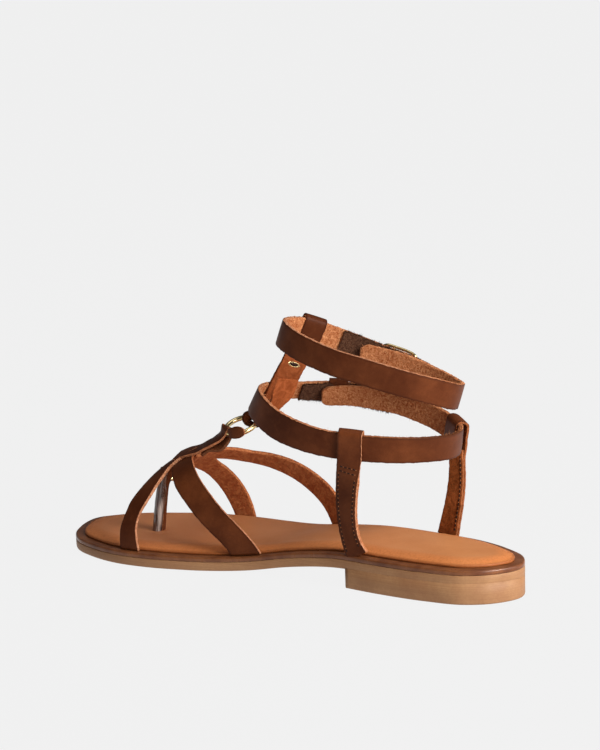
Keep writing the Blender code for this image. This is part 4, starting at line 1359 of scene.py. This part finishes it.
def make_heel_straps():
    """Both heel straps, and their stitches: rows along the edges and two rows across under the
    fold, on each face."""
    from_edge, first_stitch, last_stitch = 1.5, 3.0, 38.4
    rows_across, short_of_edge = (40.4, 42.7), 1.4
    for side, word, rows, turn, seed in (
        (-1.0, "inner", INNER_HEEL_STRAP, INNER_HEEL_TURN, 31),
        (1.0, "outer", OUTER_HEEL_STRAP, OUTER_HEEL_TURN, 35),
    ):
        lines = heel_strap(word + "_heel_strap", rows, turn, side, seed, "heel_strap_" + word)
        middle, across, outward, half_width = lines_across(lines, flip=-side)
        length = run_along(middle)
        sewn = (length > first_stitch) & (length < last_stitch)
        stitches = []
        for out in (HEEL_LAYER / 2, -1.5 * HEEL_LAYER - 0.1):
            for edge in (-1.0, 1.0) if side < 0 else (1.0,):
                path = middle + across * (edge * (half_width - from_edge))[:, None] + outward * out
                stitches.append((path[sewn], outward[sewn]))
            for at in rows_across:
                k = np.argmin(np.abs(length - at))
                spread = np.linspace(-1, 1, 12)[:, None] * (half_width[k] - short_of_edge)
                path = middle[k] + across[k] * spread + outward[k] * out
                stitches.append((path, np.repeat(outward[k][None], 12, axis=0)))
        sew(word + "_heel_stitches", stitches)


def sew(name, rows):
    """Rows of dark stitches: each a small capsule that lies on its row, with a paler knot between
    it and the next."""
    step, long, thick = 2.0, 1.3, 0.36
    knot_long, knot_thick = 0.52, 0.22
    stitches, knots = [], []
    for path, out in rows:
        length = run_along(path)
        at = np.arange(step / 2, length[-1], step)
        place = rows_at(path, length, at)
        heading = unit(rows_at(path, length, at + 0.5) - rows_at(path, length, at - 0.5))
        normal = unit(rows_at(out, length, at))
        stitches.append(capsules(place, heading, normal, long / 2, thick))
        between = place + heading * step / 2
        knots.append(capsules(between, heading, normal, knot_long / 2, knot_thick))
    many(name, np.concatenate(stitches), DARK_THREAD)
    many(name + "_knots", np.concatenate(knots), TAN_THREAD)


def capsules(place, heading, normal, half_long, thick):
    """Small rounded rods: a half circle profile turned about the heading, flattened a little along
    the normal."""
    place, heading, normal = (rows[:, None, None, :] for rows in (place, heading, normal))
    side = np.cross(heading, normal)
    from_pole = 0.12
    share = np.linspace(from_pole, math.pi - from_pole, 7)[None, :, None, None]
    turn = circle(6)[None, None, :, None]
    along = -np.cos(share) * half_long * heading
    ring = np.cos(turn) * side + 0.8 * np.sin(turn) * normal
    return place + along + thick * np.sqrt(np.sin(share)) * ring


def fray(name, sets, look, seed=5):
    """Loose fibres as bent three-sided cones.

    A fibre goes from its root along its heading by its reach times the share of its length, and
    aside by its bend, its reach and the share's square. Each set is (root points, direction out of
    the leather, how many, how long, how wildly they lie)."""
    rng = np.random.default_rng(seed)
    thick, spare, bend_size = 0.075, 1.15, 0.6
    share = np.linspace(0, 1, 5)[None, :, None]
    radius = thick * (spare - share)[..., None]
    turn = np.radians([0.0, 120.0, 240.0])[None, None, :, None]
    hairs = []
    for points, outwards, count, long, wild in sets:
        pick = rng.integers(0, len(points) - 1, count)
        part = rng.random((count, 1))
        root = points[pick] * (1 - part) + points[pick + 1] * part
        rng.normal(0, 1, (count, 3))  # spare draws, so that the ones after them stay the same
        heading = unit(unit(outwards[pick]) + rng.normal(0, wild, (count, 3)))
        bend = rng.normal(0, 0.5, (count, 3))
        reach = long * (0.35 + 0.9 * rng.random((count, 1)))
        way = heading[:, None] * share + bend[:, None] * share**2 * bend_size
        spine = root[:, None] + reach[:, None] * way
        side = unit(np.cross(heading, rng.normal(0, 1, (count, 3))))
        other = np.cross(heading, side)
        ring = np.cos(turn) * side[:, None, None] + np.sin(turn) * other[:, None, None]
        hairs.append(spine[:, :, None] + radius * ring)
    many(name, np.concatenate(hairs), look)


def make_t_strap():
    """A ribbon from the ring up the front, over the upper ankle strap and down inside it, and its
    flap.

    It starts with a part of a circle round the ring's wire, where painted shade makes it darkest.
    Gives its middle, its directions and its half width."""
    wrap = [[-2.0, 138.0, 66.2, 3.4, 138.0, 66.8], [-1.6, 142.6, 64.6, 3.4, 142.8, 65.0]]
    for turn in np.radians([-80, -40, 0, 40, 80]):
        y, z = 147.0 + 2.8 * math.cos(turn), 67.8 + 2.9 * math.sin(turn)
        wrap.append([-1.6, y, z, 3.4, y, z])
    wrap += [[-2.0, 143.6, 71.5, 4.0, 143.6, 71.9], [-3.2, 139.6, 73.1, 5.4, 139.2, 73.5]]
    high = half_high(UPPER, T_TURN)
    stops = [
        (2.2, -high - 0.5),
        (2.2, 0.0),
        (2.2, high - 1.2),
        (1.6, high + 0.4),
        (0.0, high + 0.9),
        (-1.6, high + 0.4),
        (-2.2, high - 1.2),
        (-2.2, 0.0),
        (-2.0, -high - 0.8),
    ]
    loop = turned_to(loop_lines(UPPER, T_TURN, 5.5, stops), T_STRAP[-1])

    def painted_shade(share):
        """Painted shade: darkest round the ring, then a level darkness."""
        return 0.33 + 0.43 * ease((0.24 - share) / 0.06)

    lines = lines_across(along_path([*wrap, *T_STRAP, *loop], 0.8), flip=-1.0)
    strap = ribbon(*lines, T_THICK, 41, pale=-0.6, ragged=0.2, painted_shade=painted_shade)
    flap = ribbon_through(T_FLAP, 0.8, thick=1.2, seed=43, pale=0.2, ragged=0.2)
    note_edges(EDGES, strap[0], EDGE_WILD, (60, 0.9), (40, 0.9))
    note_edges(EDGES, flap[0], EDGE_WILD, (40, 0.9))
    joined("front_t_strap", [strap, flap], T_LEATHER, ("t_strap",))
    return lines


def sew_t_strap(lines):
    """A row of stitches across the T strap on each face, where its fold is sewn down over the
    ring."""
    middle, across, outward, half_width = lines
    k = np.argmin(np.abs(middle[:, 2] - T_SEAM_HEIGHT))
    spread = np.linspace(-1, 1, 14)[:, None] * (half_width[k] - 0.8)
    rows = []
    for face in (1, -1):
        path = middle[k] + across[k] * spread + outward[k] * face * (T_THICK / 2 + 0.05)
        rows.append((path, np.repeat(outward[k][None] * face, 14, axis=0)))
    sew("t_strap_seam", rows)


def make_eyelet(lines):
    """A rolled ring on each face of the strap, joined by the barrel through it: one turned profile.

    The profile is a circle with small waves of twice and three times its turn, and it is carried
    round an oval."""
    middle, across, outward, _ = lines
    ring_radius, roll, roll_high, wide, bore_radius = 2.35, 0.5, 1.0, 1.2, 1.9
    k = np.argmin(np.abs(middle[:, 2] - EYELET_HEIGHT))
    turn = circle(40)[:, None, None]
    t = circle(40)
    radius = ring_radius + roll * np.cos(t) + 0.12 * np.cos(2 * t)
    high = roll_high * np.sin(t) + 0.15 * np.sin(3 * t)
    along = 0.5 * unit(np.cross(across[k], outward[k]))
    out = wide * np.cos(turn) * across[k] + np.sin(turn + 0.5) * along
    grid = middle[k] + out * radius[None, :, None] + outward[k] * high[None, :, None]
    tube("strap_eyelet", grid, GOLD, ("eyelet",), closed=True)
    # Painted shade: a dark disc across the barrel's bore, whose inside lies in shadow.
    disc = bore_radius * np.array([0.2, 1.0, 1.0, 0.2])[:, None, None]
    level = np.array([-0.86, -0.85, 0.85, 0.86])[:, None, None]
    bore_shade = middle[k] + (disc * out[:, 0][None]) + level * outward[k]
    tube("eyelet_bore_shade", bore_shade, DARK_THREAD)


def make_toe_post():
    """The sleeved cord, an oval carried along a straight line, and the strip behind it.

    The oval's size is about 1: a little less at both ends and narrower towards the head, with
    slight waves."""
    foot = np.array([-8.2, 199.8, 7.0])
    head = np.array([-7.8, 193.6, 41.4])
    half_across, half_along = 3.1, 2.3
    share = np.linspace(0, 1, 40)[:, None, None]
    turn = circle(32)[None, :, None]
    size = 1.06 - 0.05 * np.cos(share * 2 * math.pi) - 0.30 * ease((share - 0.55) / 0.45)
    size = size + 0.015 * np.sin(share * 40)
    across, along = np.array([half_across, 0, 0]), np.array([0, half_along, 0])
    grid = foot + (head - foot) * share + size * (np.cos(turn) * across + np.sin(turn) * along)
    # A field for the painted highlight: highest on the side of the sleeve that faces the camera, a
    # little lower towards its head.
    painted_highlight = (np.cos(turn - math.radians(-132.0)) - 0.16 * ease((share - 0.42) / 0.25))[..., 0]
    tube("post_sleeve", grid, SLEEVE, ("toe_post",), {"painted_highlight": painted_highlight})
    strip = ribbon_through(POST_STRIP, 1.0, thick=0.8, seed=51, pale=0.3)
    joined("post_strip", [strip], FOOT_LEATHER, ("toe_post_strip",))


def make_stud():
    """A small dome on the post's strip: a ball's laps, flattened to half along the way that the
    strip faces."""
    facing = unit(np.array([-0.39, -0.92, 0.0]))
    level = np.array([0.0, 0.0, 1.0])
    side = np.cross(level, facing)
    from_pole = 0.04
    share = np.linspace(from_pole, math.pi - from_pole, 16)[:, None, None]
    turn = circle(24)[None, :, None]
    flat = np.cos(turn) * side + np.sin(turn) * level
    ball = np.sin(share) * flat - 0.5 * np.cos(share) * facing
    grid = np.array(STUD_PLACE) + STUD_RADIUS * ball
    tube("strip_stud", grid, GOLD, ("toe_post_stud",))


def make_buckle(word, strap, turn, over):
    """A wire frame with rounded corners that follows the strap's curve, its bar and its prong.

    The frame is a squared circle: cosine ahead and sine up, both to a power well under one. over is
    how far it stands past the strap's edges."""
    half_long, squareness, bar, prong_tip = 9.5, 0.42, 3.0, -10.4
    high = half_high(strap, turn) + over
    around = circle(96)
    ahead = half_long * signed_power(np.cos(around), squareness)
    up_by = high * signed_power(np.sin(around), squareness)
    up_line = np.linspace(-high, high, 16)
    prong = np.linspace(bar, prong_tip, 24)
    wires = [
        wire_round(strap, turn, ahead, up_by, 0.75, closed=True),
        wire_round(strap, turn, up_line * 0 + bar, up_line, 0.7),
        wire_round(strap, turn, prong, prong * 0, 0.7, raised=0.7),
    ]
    parts = [(wire, {}) for wire in wires]
    name, node, closed = word + "_buckle", "buckle_" + word, (True, False, False)
    joined(name, parts, GOLD, (node,), closed, flat_ends=False)


def wire_round(strap, turn, ahead, up_by, radius, raised=0.0, closed=False):
    """Laps of a round wire through places given by millimetres ahead and up from the middle of an
    ankle strap.

    Each lap is a circle about its place, square to the way that the wire goes."""
    above_face = ANKLE_THICK / 2 + 1.0 + raised
    turns = turn + ahead * turn_for(strap, turn, 1.0)
    centre, normal, up, _, _ = ankle_frame(strap, turns, above_face)
    path = centre + up * up_by[:, None]
    if closed:
        heading = unit(np.roll(path, -1, axis=0) - np.roll(path, 1, axis=0))
    else:
        heading = unit(np.gradient(path, axis=0))
    side = np.cross(heading, normal)
    around = circle(10)[None, :, None]
    lap = np.cos(around) * side[:, None] + np.sin(around) * normal[:, None]
    return path[:, None] + radius * lap


def make_keeper():
    """A small leather loop round the outer layer of the lower ankle strap."""
    high = half_high(LOWER, KEEPER_TURN)
    stops = [
        (-1.7, -high + 3.0),
        (-1.7, high - 2.0),
        (-1.4, high + 0.1),
        (-0.5, high + 1.1),
        (0.6, high + 1.1),
        (1.6, high + 0.1),
        (1.9, high - 2.0),
        (1.9, 0.0),
        (1.9, -high + 1.6),
        (1.5, -high + 0.2),
        (0.5, -high - 0.7),
        (-0.5, -high - 0.7),
        (-1.4, -high + 0.3),
        (-1.7, -high + 2.4),
    ]
    lines = loop_lines(LOWER, KEEPER_TURN, 4.5, stops)
    keeper = ribbon_through(lines, 0.6, thick=1.1, seed=61, corner=0.3, pale=0.0)
    joined("lower_keeper", [keeper], LEATHER, ("keeper_lower",))


# ---------------------------------------------------------------- studio


def make_studio():
    """A wide pale floor, an even dim world, and round area lamps that all face the sandal."""
    scene = bpy.context.scene
    scene.view_settings.view_transform = "Standard"
    scene.view_settings.look = "None"
    half, below = 30.0, -0.0002
    mesh = bpy.data.meshes.new("studio_floor")
    corners = [(-half, -half), (half, -half), (half, half), (-half, half)]
    mesh.from_pydata([(x, y, below) for x, y in corners], [], [(0, 1, 2, 3)])
    floor = bpy.data.objects.new("studio_floor", mesh)
    scene.collection.objects.link(floor)
    mesh.materials.append(floor_paint())
    world = bpy.data.worlds.new("studio")
    scene.world = world
    world.use_nodes = True
    background = world.node_tree.nodes["Background"]
    background.inputs[0].default_value = (1.0, 0.99, 0.98, 1.0)
    background.inputs[1].default_value = 0.13
    for name, place, size, power in (
        ("key", (-0.1, -0.85, 0.5), 0.5, 11.5),
        ("low", (0.45, -1.2, 0.16), 0.5, 3.5),
        ("front", (-0.55, -1.3, 0.35), 0.6, 7.5),
        ("top", (0.1, -0.1, 1.5), 1.2, 5.0),
    ):
        light = bpy.data.lights.new(name, "AREA")
        light.shape = "DISK"
        light.size = size
        light.energy = power
        lamp = bpy.data.objects.new(name, light)
        scene.collection.objects.link(lamp)
        lamp.location = place
        lamp.rotation_euler = look_along(unit(np.array([0.0, 0.0, 0.05]) - np.array(place)))


def look_along(aim):
    """Turns that point an object's -Z along aim, level: how far up from straight down, and which
    way round."""
    return (math.acos(-aim[2]), 0.0, math.atan2(-aim[0], aim[1]))


def make_camera():
    """The camera stands on the inner side, a little behind and above, and is rolled slightly.

    Its place is its distance from the target, along the direction of its azimuth and elevation."""
    azimuth, elevation, roll = math.radians(-54.0), math.radians(13.866), math.radians(-2.209)
    target, distance = np.array([0.0, 125.0, 20.0]), 1072.148
    level = math.cos(elevation)
    back = np.array([math.sin(azimuth) * level, -math.cos(azimuth) * level, math.sin(elevation)])
    right = unit(np.cross(-back, [0, 0, 1]))
    up = np.cross(back, right)
    cos, sin = math.cos(roll), math.sin(roll)
    right, up = right * cos + up * sin, up * cos - right * sin
    data = bpy.data.cameras.new("camera")
    camera = bpy.data.objects.new("camera", data)
    bpy.context.scene.collection.objects.link(camera)
    matrix = np.eye(4)
    matrix[:3] = np.stack([right, up, back, into_frame(target + back * distance)], axis=1)
    camera.matrix_world = Matrix(matrix.tolist())
    data.sensor_fit = "VERTICAL"
    data.sensor_height = 36.0
    data.lens = 109.92
    data.shift_x = 0.01104
    data.shift_y = 0.19649
    data.clip_end = 100.0
    bpy.context.scene.camera = camera


make_outsole()
make_welt()
make_insole()
make_forefoot()
make_ring()
make_ankle_straps()
make_heel_straps()
t_strap = make_t_strap()
make_eyelet(t_strap)
sew_t_strap(t_strap)
make_toe_post()
make_buckle("upper", UPPER, -361.0, 0.45)
make_buckle("lower", LOWER, -353.0, -0.9)
make_keeper()
fray("loose_fibres", EDGES, LOOSE_FIBRE)
fray("leather_nap", NAP, NAP_FIBRE, 7)
fray("fastener_pile", PILE, FASTENER, 6)
make_stud()
make_studio()
make_camera()
